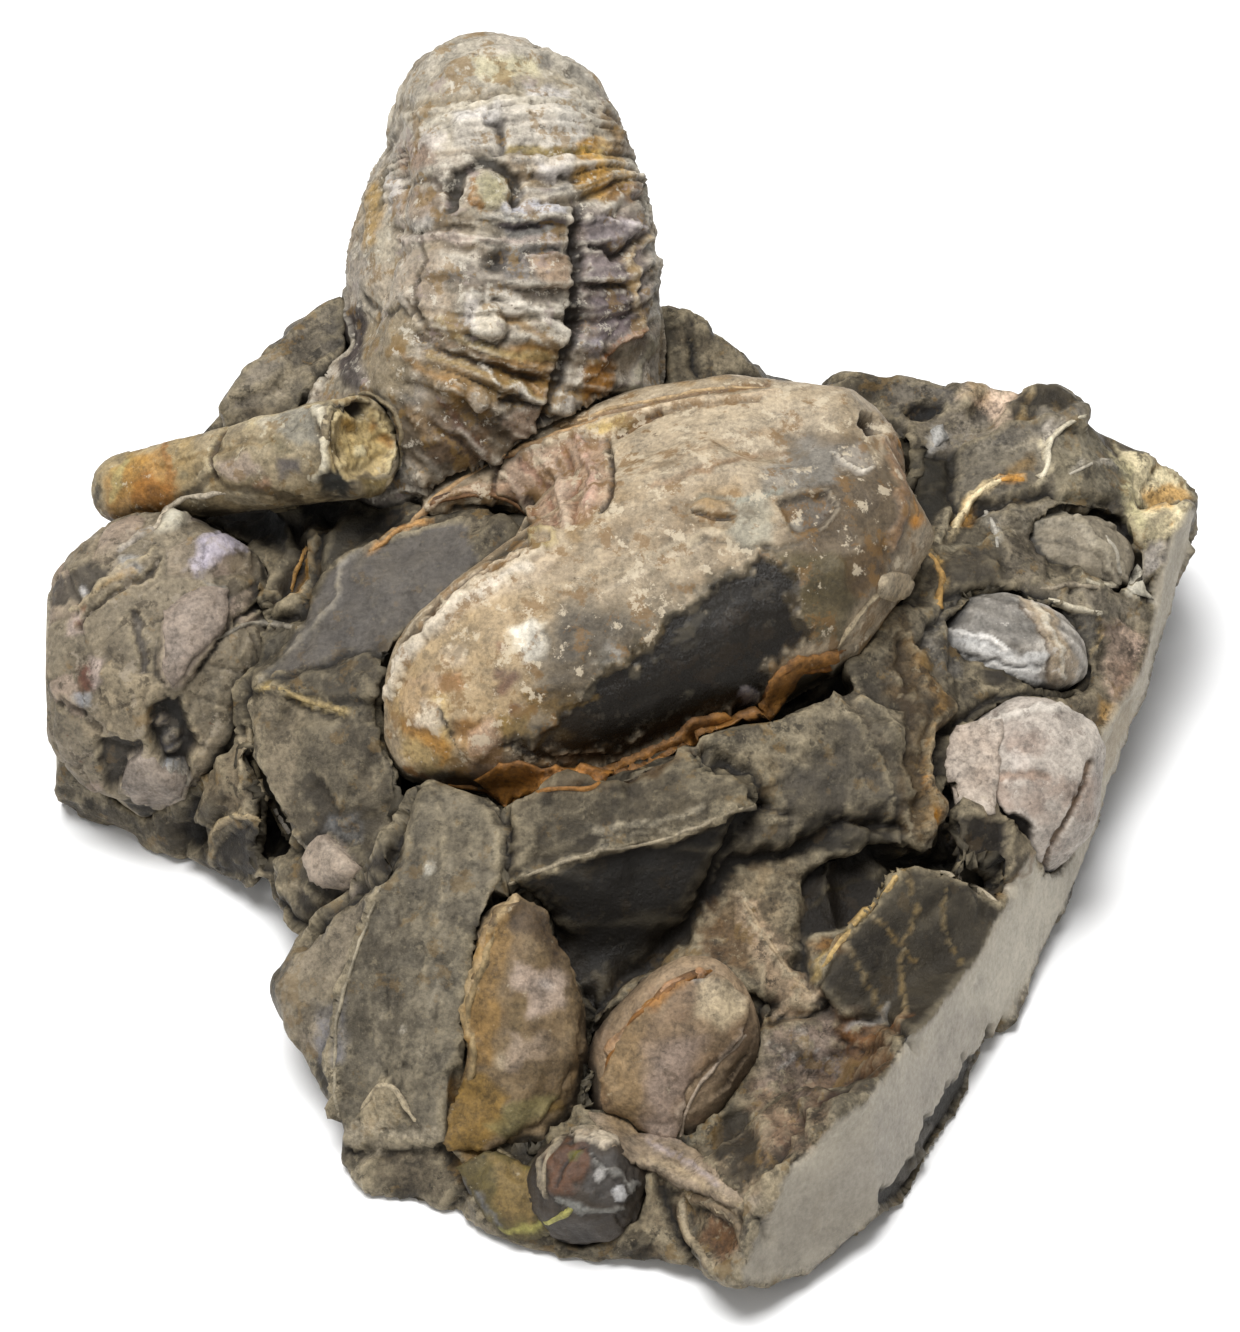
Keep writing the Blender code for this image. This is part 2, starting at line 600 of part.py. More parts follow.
def pocket_cutter(fossil, collection):
    """A coarser copy of the fossil, swollen by the clearance, that cuts its pocket."""
    clearance, triangles = POCKETS.get(fossil.name, LUMP_POCKET)
    cutter = new_object("pocket_of_" + fossil.name, fossil.data.copy(), collection)
    swell = cutter.modifiers.new("swell", "DISPLACE")
    swell.strength = clearance * MM
    swell.mid_level = 0
    with_modifiers(cutter)
    if fossil.name in TRIANGLES:
        melted(cutter, POCKET_MELT)
    thinned(cutter, triangles)
    make_helper(cutter)
    return cutter


def make_fossils(parts, trim):
    """Each fossil as an object of its own, by name, before its neighbours are pressed into it."""
    shapes = {
        "standing_ammonite": standing_coil(),
        "reclining_ammonite": reclining_body(),
        "straight_ammonite": straight_shaft(),
    }
    for seed, (name, (centre, half_sizes, degrees, lumpiness)) in enumerate(LUMPS.items()):
        shapes[name] = stretched_ball(centre, half_sizes, math.radians(degrees), lumpiness, seed)

    fossils = {}
    for name, shape in shapes.items():
        fossil = new_object(name, to_mesh(name, shape), parts)
        if name in TRIANGLES:
            melted(fossil, MELT)
            thinned(fossil, TRIANGLES[name])
        elif name in REACHES_CUT:
            add_boolean(fossil, "INTERSECT", trim)
            with_modifiers(fossil)
        elif name in LUMPS:
            thinned(fossil, LUMP_TRIANGLES)
        fossil.data.materials.clear()
        fossil.data.materials.append(material(name, *FOSSIL_MATERIALS[name]))
        fossils[name] = fossil
    return fossils


def cut_pockets(fossils, cutters):
    """Presses neighbours into each other, and returns a cutter for each fossil's pocket in the matrix."""
    pockets = {}
    for name in sorted(fossils, key=lambda name: name in LIES_AGAINST):
        for neighbour in LIES_AGAINST.get(name, []):
            add_boolean(fossils[name], "DIFFERENCE", pockets[neighbour])
        with_modifiers(fossils[name])
        pockets[name] = pocket_cutter(fossils[name], cutters)
    return pockets


def build():
    clear_scene()
    parts = bpy.data.collections.new("ammonite_cluster")
    cutters = bpy.data.collections.new("cutters")
    for collection in (parts, cutters):
        bpy.context.scene.collection.children.link(collection)

    trim = trim_block(cutters)
    fossils = make_fossils(parts, trim)
    matrix = rough_matrix(parts)
    pockets = cut_pockets(fossils, cutters)
    add_boolean(matrix, "INTERSECT", trim)
    for pocket in pockets.values():
        add_boolean(matrix, "DIFFERENCE", pocket)
    matrix.data.materials.append(material("mudstone", *MUDSTONE))


build()
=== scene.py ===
"""Looks of the ammonite cluster.

Each solid of the frame is melted into a fine skin, which gets relief and paint of broken rock or shell. Marks
are laid on a skin through the picture plane, on what the camera sees of it, and noise of like tones finishes
the rest. Thin plates and edges of shell are laid on the finished skins.
"""

import itertools
import math
from dataclasses import dataclass
import bmesh
import bpy
import numpy as np
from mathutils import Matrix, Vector
from mathutils.bvhtree import BVHTree
from mathutils.geometry import delaunay_2d_cdt


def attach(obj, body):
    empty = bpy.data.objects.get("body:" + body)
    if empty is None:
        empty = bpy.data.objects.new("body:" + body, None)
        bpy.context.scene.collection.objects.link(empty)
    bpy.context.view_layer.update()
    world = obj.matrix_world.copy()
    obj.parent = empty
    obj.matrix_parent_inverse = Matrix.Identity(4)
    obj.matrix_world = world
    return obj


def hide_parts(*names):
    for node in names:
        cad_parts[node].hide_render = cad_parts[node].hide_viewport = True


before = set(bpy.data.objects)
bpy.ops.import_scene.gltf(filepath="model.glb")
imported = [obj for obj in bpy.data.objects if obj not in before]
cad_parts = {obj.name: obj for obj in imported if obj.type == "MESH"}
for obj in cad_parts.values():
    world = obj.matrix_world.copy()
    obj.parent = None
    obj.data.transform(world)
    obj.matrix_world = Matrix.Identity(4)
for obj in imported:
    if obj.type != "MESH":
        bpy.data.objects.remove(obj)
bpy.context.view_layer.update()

MM = 0.001  # places are in millimetres here, and the scene is in metres

# The picture plane: dots of the 1240 x 1332 picture, seen from above the front.
PICTURE = (1240, 1332)
PICTURE_MIDDLE = np.array((620.0, 666.0))
FOCUS = 3700.0  # dots from the eye to the picture plane
EYE_DISTANCE = 560.0  # mm
EYE_RISE = math.radians(40)
LOOKED_AT = np.array((0.0, 0.0, 35.0))
TOWARDS_EYE = np.array((0, -math.cos(EYE_RISE), math.sin(EYE_RISE)))
PICTURE_UP = np.array((0, math.sin(EYE_RISE), math.cos(EYE_RISE)))
PICTURE_RIGHT = np.array((1.0, 0, 0))
EYE = LOOKED_AT + TOWARDS_EYE * EYE_DISTANCE

# The saw cuts and, last, the flat underside, as a point in mm and the direction that was cut away.
SAW_CUTS = [
    (np.array((56.4, -43.5, 4)), np.array((0.871, -0.444, 0.208))),
    (np.array((34.2, -78.0, 23.4)), np.array((0.62, -0.74, 0.257))),
    (np.array((-88.5, 0, 0)), np.array((-1, -0.05, 0.02))),
    (np.array((0.0, 0, 0)), np.array((0.0, 0, -1))),
]
CUT_TONE = (198, 189, 172)

# How paint answers to the studio's light.
TONE_GAIN = 0.78
TONE_CONTRAST = 0.16
TONE_WARMTH = 1.12

HIDDEN_BEYOND = 2.5  # mm, how far behind another surface a point still counts as seen
SKY_REACH = 16.0  # mm, how far off a neighbour still takes light from a crevice
MEETING_REACH = 2.6  # mm, across which a skin swells towards its neighbour
MEETING_SHARE = 0.5  # the share of that gap which each of the two fills
SWAY_REACH = 12  # dots past a mark's reach to which its ragged rim may stray
MOST_FACES = 96000  # of one piece


# ---------------------------------------------------------------- tones, noise and broken cells


def linear(tone):
    """The paint that looks like an sRGB tone, 0 to 255, in the studio's light."""
    value = np.asarray(tone, float) / 255
    light = np.where(value <= 0.04045, value / 12.92, ((value + 0.055) / 1.055) ** 2.4)
    brightness = light @ (0.2126, 0.7152, 0.0722)
    light = np.maximum(brightness + (light - brightness) * TONE_WARMTH, 0.002)
    return TONE_GAIN * light * max(brightness, 1e-4) ** TONE_CONTRAST


def smooth(low, high, value):
    """0 below low, 1 above high and an S curve between."""
    t = np.clip((value - low) / (high - low), 0, 1)
    return t * t * (3 - 2 * t)


def hashed(cells, seed, count):
    """That many random numbers from 0 to 1 for each cell of a lattice, the same on each run."""
    x, y, z = (cells[..., i].astype(np.int64).astype(np.uint32) for i in range(3))
    key = x * np.uint32(73856093) ^ y * np.uint32(19349663) ^ z * np.uint32(83492791)
    key ^= np.uint32(seed * 2654435761 % 2**32)
    numbers = []
    for _ in range(count):
        key = (key ^ (key >> np.uint32(15))) * np.uint32(2246822519)
        key = (key ^ (key >> np.uint32(13))) * np.uint32(3266489917)
        key = key ^ (key >> np.uint32(16))
        numbers.append(key / 2.0**32)
    return np.stack(numbers, -1)


def ripple(places, size, seed=0):
    """Smooth noise from -1 to 1, with lumps of that size."""
    scaled = places / size
    base = np.floor(scaled)
    part = scaled - base
    part = part * part * (3 - 2 * part)
    total = np.zeros(len(places))
    for corner in itertools.product((0, 1), repeat=3):
        share = np.prod(np.where(corner, part, 1 - part), axis=1)
        total += share * hashed(base + corner, seed, 1)[:, 0]
    return total * 2 - 1


def swaying(places, size, seed):
    """Smooth noise in two directions."""
    return np.stack((ripple(places, size, seed), ripple(places, size, seed + 1)), 1)


def rough(places, size, seed=0, octaves=4):
    """Fractal noise: ever finer ripples."""
    total = np.zeros(len(places))
    for octave in range(octaves):
        total += ripple(places, size / 2.1**octave, seed + octave * 17) * 0.5**octave
    return total / 1.6


def broken(places, size, seed):
    """Random cells about that large.

    Gives each place four random numbers of its cell, the way to it from the cell's middle and its distance
    from the cell's rim, both in mm.
    """
    scaled = places / size
    base = np.floor(scaled)
    nearest = np.full(len(places), 9.0)
    second = np.full(len(places), 9.0)
    cell = np.zeros_like(scaled)
    offset = np.zeros_like(scaled)
    for shift in itertools.product((-1, 0, 1), repeat=3):
        there = base + shift
        away = scaled - there - hashed(there, seed, 3)
        distance = np.sqrt((away**2).sum(1))
        closer = distance < nearest
        second = np.where(closer, nearest, np.minimum(second, distance))
        nearest = np.where(closer, distance, nearest)
        cell[closer] = there[closer]
        offset[closer] = away[closer]
    return hashed(cell, seed + 5, 4), offset * size, (second - nearest) * size


def broken_relief(places, size, seed, tilt, step):
    """Relief in mm of flat broken faces about that large."""
    numbers, offset, _ = broken(places, size, seed)
    slope = (numbers[:, :3] * 2 - 1) * tilt
    return (slope * offset).sum(1) + (numbers[:, 3] - 0.5) * step


# ---------------------------------------------------------------- marks, laid through the picture plane


@dataclass
class Mark:
    """What one feature does to a skin. Dots are picture dots, tones sRGB, and lift is in mm."""

    shape: str
    dots: list
    reach: float  # an area's soft edge, a line's half width or a dab's radius, in dots
    tone: tuple = None
    strength: float = 0.85
    lift: float = 0.0
    gloss: float = None
    ragged: float = 5.0
    calm: float = 0.0  # share of the broken relief and patches that it takes away


def area(dots, tone=None, strength=0.85, lift=0.0, soft=8, **more):
    """A mark on all that an outline holds."""
    return Mark("area", dots, soft, tone, strength, lift, **more)


def line(dots, width, tone=None, strength=0.85, lift=0.0, **more):
    """A mark along a line of dots."""
    return Mark("line", dots, width, tone, strength, lift, **more)


def dab(across, down, radius, tone=None, strength=0.85, lift=0.0, **more):
    """A round mark."""
    return Mark("dab", [(across, down)], radius, tone, strength, lift, **more)


def to_line(points, dots):
    """Each point's distance in dots from a line of dots."""
    nearest = np.full(len(points), 1e9)
    for start, end in zip(dots, dots[1:]):
        start, step = np.array(start, float), np.subtract(end, start).astype(float)
        share = np.clip((points - start) @ step / (step @ step), 0, 1)
        away = points - start - share[:, None] * step
        nearest = np.minimum(nearest, np.sqrt((away**2).sum(1)))
    return nearest


def inside(points, dots):
    """Whether each point is in an outline of dots."""
    result = np.zeros(len(points), bool)
    x, y = points.T
    for (x1, y1), (x2, y2) in zip(dots, dots[1:] + dots[:1]):
        if y1 != y2:
            crosses = (y1 > y) != (y2 > y)
            result ^= crosses & (x < (x2 - x1) * (y - y1) / (y2 - y1) + x1)
    return result


def weight_of(mark, points):
    """How strongly a mark works at each point of the picture, from 0 to 1."""
    if mark.shape == "area":
        distance = to_line(points, mark.dots + mark.dots[:1])
        signed = np.where(inside(points, mark.dots), distance, -distance)
        return smooth(-mark.reach / 2, mark.reach / 2, signed)
    if mark.shape == "line":
        return 1 - smooth(0.35, 1.0, to_line(points, mark.dots) / mark.reach)
    away = np.sqrt(((points - np.array(mark.dots[0], float)) ** 2).sum(1)) / mark.reach
    roundness = 0.5 if mark.lift > 0 else 1.0  # a raised dab is a half ball
    return np.where(away < 1, (1 - np.clip(away, 0, 1) ** 2) ** roundness, 0)


def vectors(items, name):
    """The vector of that name of each item of a mesh, as rows."""
    values = np.empty(len(items) * 3, np.float32)
    items.foreach_get(name, values)
    return values.reshape(-1, 3).astype(float)


class Skin:
    """The fine surface of one frame solid, with its relief and paint as arrays over its points."""

    def __init__(self, node, voxel, evened):
        """Melts a solid to points that far apart in mm, and evens it out that many times."""
        self.node = node
        self.name = node + "_surface"
        solid = bmesh.new()
        solid.from_mesh(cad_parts[node].data)
        bmesh.ops.remove_doubles(solid, verts=solid.verts, dist=1e-6)
        mesh = bpy.data.meshes.new(self.name)
        solid.to_mesh(mesh)
        solid.free()
        self.object = bpy.data.objects.new(self.name, mesh)
        bpy.context.scene.collection.objects.link(self.object)
        remesh = self.object.modifiers.new("melt", "REMESH")
        remesh.mode = "VOXEL"
        remesh.voxel_size = voxel * MM
        even = self.object.modifiers.new("even", "SMOOTH")
        even.factor = 0.5
        even.iterations = evened
        self.apply_modifiers()
        self.read()
        count = len(self.places)
        self.height = np.zeros(count)
        self.paint = np.tile(linear((110, 100, 86)), (count, 1))
        self.gloss = np.full(count, 0.3)
        self.patchy = np.ones(count)
        self.calm = np.zeros(count)
        self.see()

    def apply_modifiers(self):
        """Turns the melted solid into a mesh of its own."""
        bpy.context.view_layer.update()
        graph = bpy.context.evaluated_depsgraph_get()
        self.object.data = bpy.data.meshes.new_from_object(self.object.evaluated_get(graph))
        self.object.modifiers.clear()

    def read(self):
        """Takes the places in mm, the normals and the edges off the mesh."""
        mesh = self.object.data
        self.places = vectors(mesh.vertices, "co") / MM
        self.normals = vectors(mesh.vertex_normals, "vector")
        edges = np.empty(len(mesh.edges) * 2, np.int32)
        mesh.edges.foreach_get("vertices", edges)
        self.edges = edges.reshape(-1, 2)

    def see(self):
        """Where each point falls in the picture, and how well the camera sees it."""
        away = self.places - EYE
        depth = -(away @ TOWARDS_EYE)
        across = PICTURE_MIDDLE[0] + FOCUS * (away @ PICTURE_RIGHT) / depth
        down = PICTURE_MIDDLE[1] - FOCUS * (away @ PICTURE_UP) / depth
        self.dots = np.stack((across, down), 1)
        sight = away / np.sqrt((away**2).sum(1))[:, None]
        facing = -(sight * self.normals).sum(1)
        self.seen = smooth(0.0, 0.2, facing)
        for i in np.nonzero(self.seen > 0)[0]:
            reach = np.sqrt((away[i] ** 2).sum())
            hit = SOLIDS.ray_cast(Vector(EYE), Vector(sight[i]), reach - HIDDEN_BEYOND)
            if hit[0] is not None:
                self.seen[i] = 0
        self.sway = swaying(self.places, 2.6, 3) + 0.5 * swaying(self.places, 0.9, 5)

    def blend(self, weight, tone):
        """Paints with a tone, by a weight for each point."""
        self.paint += weight[:, None] * (linear(tone) - self.paint)

    def clouded(self, size, seed, low, high, amount, tone):
        """Paints clouds of a tone, where noise of that size rises from low to high."""
        self.blend(smooth(low, high, rough(self.places, size, seed)) * amount, tone)

    def worn(self, low, high, amount, tone):
        """Paints the edges, from those that stand out by the low value in mm to those by the high one."""
        self.blend(smooth(low, high, self.edge) * amount, tone)

    def soiled_and_shaded(self, low, high, amount, tone):
        """Paints the hollows with dirt and painted shade, from those as deep as the low value in mm to those
        as deep as the high one.
        """
        # dirt and painted shade in the hollows
        self.blend(smooth(low, high, -self.edge) * amount, tone)

    def marked(self, marks):
        """Lays marks on what the camera sees, one over the other."""
        for mark in marks:
            corners = np.array(mark.dots, float)
            margin = mark.reach + SWAY_REACH
            low, high = corners.min(0) - margin, corners.max(0) + margin
            near = ((self.dots > low) & (self.dots < high)).all(1) & (self.seen > 0)
            chosen = np.nonzero(near)[0]
            points = self.dots[chosen] + self.sway[chosen] * mark.ragged
            weight = weight_of(mark, points) * self.seen[chosen]
            self.height[chosen] += weight * mark.lift
            if mark.tone is not None:
                share = (weight * mark.strength)[:, None]
                self.paint[chosen] += share * (linear(mark.tone) - self.paint[chosen])
            if mark.gloss is not None:
                self.gloss[chosen] += weight * (mark.gloss - self.gloss[chosen])
            self.calm[chosen] = np.maximum(self.calm[chosen], weight * mark.calm)

    def averaged(self, values, times):
        """Values spread to their neighbours that many times."""
        a, b = self.edges.T
        count = np.bincount(a, minlength=len(values)) + np.bincount(b, minlength=len(values))
        for _ in range(times):
            total = np.bincount(a, values[b], len(values)) + np.bincount(b, values[a], len(values))
            values = 0.5 * values + 0.5 * total / count
        return values

    def opened(self):
        """How open the sky over each point is, from 0 in a crevice to 1."""
        chosen = np.arange(0, len(self.places), 5)  # one point in five stands for its neighbours
        starts = self.places[chosen] + self.normals[chosen] * 1.2
        upright = self.normals[chosen] @ ROUND_ABOUT.T
        free = np.zeros(len(chosen))
        for i, (start, shares) in enumerate(zip(starts, upright)):
            start = Vector(start)
            total = 0.0
            for k in np.nonzero(shares > 0.25)[0]:
                total += shares[k]
                if SOLIDS.ray_cast(start, ROUND_VECTORS[k], SKY_REACH)[0] is None:
                    free[i] += shares[k]
            free[i] /= max(total, 1e-6)
        value, known = np.zeros(len(self.places)), np.zeros(len(self.places))
        value[chosen] = free
        known[chosen] = 1.0
        value, known = self.averaged(value, 8), self.averaged(known, 8)
        return value / np.maximum(known, 1e-6)

    def closed(self, others):
        """Swells the skin towards its neighbours, so that a buried rim meets the rock round it."""
        for i, (place, normal) in enumerate(zip(self.places, self.normals)):
            spot, _, _, distance = others.find_nearest(Vector(place), MEETING_REACH)
            if spot is not None and distance > 0.01:
                facing = (np.array(spot) - place) @ normal / distance
                self.height[i] += MEETING_SHARE * distance * max(0.0, facing)

    def raised(self):
        """Moves the points by their height, and finds where the surface is an edge or a hollow."""
        self.places = self.places + self.normals * self.height[:, None]
        self.places[:, 2] = np.maximum(self.places[:, 2], 0)
        mesh = self.object.data
        mesh.vertices.foreach_set("co", (self.places * MM).astype(np.float32).ravel())
        mesh.update()
        self.normals = vectors(mesh.vertex_normals, "vector")
        spread = np.stack([self.averaged(self.places[:, i], 6) for i in range(3)], 1)
        self.edge = ((self.places - spread) * self.normals).sum(1)
        wide = np.stack([self.averaged(spread[:, i], 30) for i in range(3)], 1)
        self.swell = ((self.places - wide) * self.normals).sum(1)
        self.height[:] = 0

    def finished(self, material, slot):
        """Hands the skin over, in as many pieces side by side as its fineness needs."""
        mesh = self.object.data
        corners = np.empty(len(mesh.loops), np.int32)
        mesh.loops.foreach_get("vertex_index", corners)
        faces = corners.reshape(-1, 4)
        faces = faces[np.argsort(self.places[faces, 0].mean(1))]
        bpy.data.objects.remove(self.object)
        count = math.ceil(len(faces) / MOST_FACES)
        pieces = []
        for number, share in enumerate(np.array_split(faces, count)):
            used, renumbered = np.unique(share, return_inverse=True)
            name = f"{self.name}_{number + 1}" if count > 1 else self.name
            paint, gloss, patchy = self.paint[used], self.gloss[used], self.patchy[used]
            faces_here = renumbered.reshape(-1, 4)
            piece = new_mesh(name, self.places[used], faces_here, paint, gloss, patchy, material)
            piece.data.normals_split_custom_set_from_vertices(self.normals[used].tolist())
            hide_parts(self.node)
            pieces.append(piece)
        return pieces


def new_mesh(name, places, faces, paint, gloss, patchy, material):
    """A painted piece of the scene, from places in mm."""
    mesh = bpy.data.meshes.new(name)
    mesh.from_pydata((np.asarray(places) * MM).tolist(), [], [tuple(face) for face in faces])
    mesh.shade_smooth()
    colour = mesh.color_attributes.new("paint", "FLOAT_COLOR", "POINT")
    colour.data.foreach_set("color", np.c_[np.clip(paint, 0.001, 1), patchy].astype(np.float32).ravel())
    mesh.attributes.new("gloss", "FLOAT", "POINT").data.foreach_set("value", np.asarray(gloss, np.float32))
    mesh.materials.append(material)
    piece = bpy.data.objects.new(name, mesh)
    bpy.context.scene.collection.objects.link(piece)
    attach(piece, "root")
    return piece


def faces_of(names):
    """A tree of those solids' faces, in mm."""
    corners, faces = [], []
    for name in names:
        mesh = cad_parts[name].data
        start = len(corners)
        corners += [vert.co / MM for vert in mesh.vertices]
        faces += [[start + i for i in polygon.vertices] for polygon in mesh.polygons]
    return BVHTree.FromPolygons(corners, faces)


SOLIDS = faces_of(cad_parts)
ROCK = faces_of(["matrix"])
SHELLS = faces_of([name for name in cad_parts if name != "matrix"])


def directions(count):
    """Directions spread evenly over a sphere."""
    steps = np.arange(count) + 0.5
    height = 1 - 2 * steps / count
    turn = steps * math.pi * (1 + 5**0.5)
    width = np.sqrt(1 - height**2)
    return np.stack((np.cos(turn) * width, np.sin(turn) * width, height), 1)


ROUND_ABOUT = directions(30)
ROUND_VECTORS = [Vector(way) for way in ROUND_ABOUT]


DEEPEST_SHADE = 0.13  # the share of its paint's light that a closed crevice keeps


def settled_and_shaded(skin):
    """Settles a skin on its neighbours, moves its points and paints shade into its crevices."""
    open_sky = skin.opened()
    skin.closed(SHELLS if skin.node == "matrix" else ROCK)
    skin.raised()
    # painted shade: a point darkens by how little of the sky it sees
    skin.paint *= (DEEPEST_SHADE + (1 - DEEPEST_SHADE) * smooth(0.12, 0.82, open_sky))[:, None]
    skin.light = smooth(0.012, 0.06, skin.paint.mean(1))
    skin.patchy *= 0.25 + 0.75 * skin.light


# ---------------------------------------------------------------- materials


def painted(name, grain=0.26, grain_size=0.9, flake_size=3.0, flakes=0.1, patches=(), bump=0.25,
            rough_span=(0.75, 0.3), sheen=0.35):
    """A stone whose paint comes from its points, with finer grain, flakes, patches and bump of its own.

    Sizes and the bump are in mm. Each patch is its size, the noise it starts at, softness, tone and amount.
    """
    material = bpy.data.materials.new(name)
    material.use_nodes = True
    nodes, links = material.node_tree.nodes, material.node_tree.links
    shader = nodes["Principled BSDF"]
    place = nodes.new("ShaderNodeTexCoord").outputs["Object"]

    def node(kind, *inputs, **settings):
        """A node with its first inputs linked or set."""
        made = nodes.new("ShaderNode" + kind)
        for key, value in settings.items():
            setattr(made, key, value)
        for socket, value in zip(made.inputs, inputs):
            if isinstance(value, bpy.types.NodeSocket):
                links.new(value, socket)
            elif value is not None:
                socket.default_value = value
        return made

    def noise(size, detail=4.0, roughness=0.6, seed=0.0):
        """Noise with lumps of that size in mm."""
        made = node("TexNoise", noise_dimensions="4D")
        links.new(place, made.inputs["Vector"])
        made.inputs["W"].default_value = seed
        made.inputs["Scale"].default_value = 1 / (size * MM)
        made.inputs["Detail"].default_value = detail
        made.inputs["Roughness"].default_value = roughness
        return made.outputs["Fac"]

    def span(value, low, high, to_low, to_high):
        """A value carried from one range to another along an S curve."""
        return node("MapRange", value, low, high, to_low, to_high, interpolation_type="SMOOTHSTEP").outputs[0]

    def scaled(vector, factor):
        """A colour made lighter or darker."""
        product = node("VectorMath", vector, operation="SCALE")
        links.new(factor, product.inputs["Scale"])
        return product.outputs[0]

    def mixed(amount, first, tone):
        """A colour with that amount of a tone over it."""
        mix = node("Mix", data_type="RGBA")
        links.new(amount, mix.inputs[0])
        links.new(first, mix.inputs[6])
        mix.inputs[7].default_value = (*linear(tone), 1)
        return mix.outputs[2]

    painted_tone = node("Attribute", attribute_name="paint")
    paint, dull = painted_tone.outputs["Color"], painted_tone.outputs["Alpha"]
    gloss = node("Attribute", attribute_name="gloss").outputs["Fac"]
    bend = node("TexNoise")
    bend.inputs["Scale"].default_value = 1 / (flake_size * 0.8 * MM)
    links.new(place, bend.inputs["Vector"])
    swerve = (flake_size * 1.3 * MM,) * 3
    moved = node("VectorMath", bend.outputs["Color"], swerve, place, operation="MULTIPLY_ADD")
    flake = node("TexVoronoi", moved.outputs[0])
    flake.inputs["Scale"].default_value = 1 / (flake_size * MM)
    shade = node("SeparateColor", flake.outputs["Color"]).outputs[0]
    fine = noise(grain_size, 7, 0.72)
    speckle = span(fine, 0.33, 0.67, -grain * 1.5, grain * 1.3)
    clouds = span(noise(grain_size * 5, 5, 0.68), 0.38, 0.62, -grain, grain)
    mottle = node("Math", speckle, clouds, operation="ADD")
    mottle = node("Math", mottle.outputs[0], span(shade, 0.0, 1.0, -flakes, flakes), operation="ADD")
    dulled = span(dull, 0.0, 1.0, 0.25, 1.0)
    colour = scaled(paint, node("Math", mottle.outputs[0], dulled, 1.0, operation="MULTIPLY_ADD").outputs[0])
    for number, (size, start, softness, tone, amount) in enumerate(patches):
        spots = span(noise(size, 6, 0.7, 3.7 + number), start, start + softness, 0, amount)
        colour = mixed(node("Math", spots, dull, operation="MULTIPLY").outputs[0], colour, tone)
    links.new(colour, shader.inputs["Base Color"])

    base = node("MapRange", gloss, 0.0, 1.0, *rough_span)
    total = node("Math", base.outputs[0], span(fine, 0.3, 0.7, 0.1, -0.08), operation="ADD", use_clamp=True)
    links.new(total.outputs[0], shader.inputs["Roughness"])
    shader.inputs["Specular IOR Level"].default_value = sheen
    height = node("Math", shade, 0.6, fine, operation="MULTIPLY_ADD")
    step = node("Bump")
    step.inputs["Strength"].default_value = 0.9
    step.inputs["Distance"].default_value = bump * MM
    links.new(height.outputs[0], step.inputs["Height"])
    links.new(step.outputs["Normal"], shader.inputs["Normal"])
    return material


# ---------------------------------------------------------------- the standing, ribbed ammonite

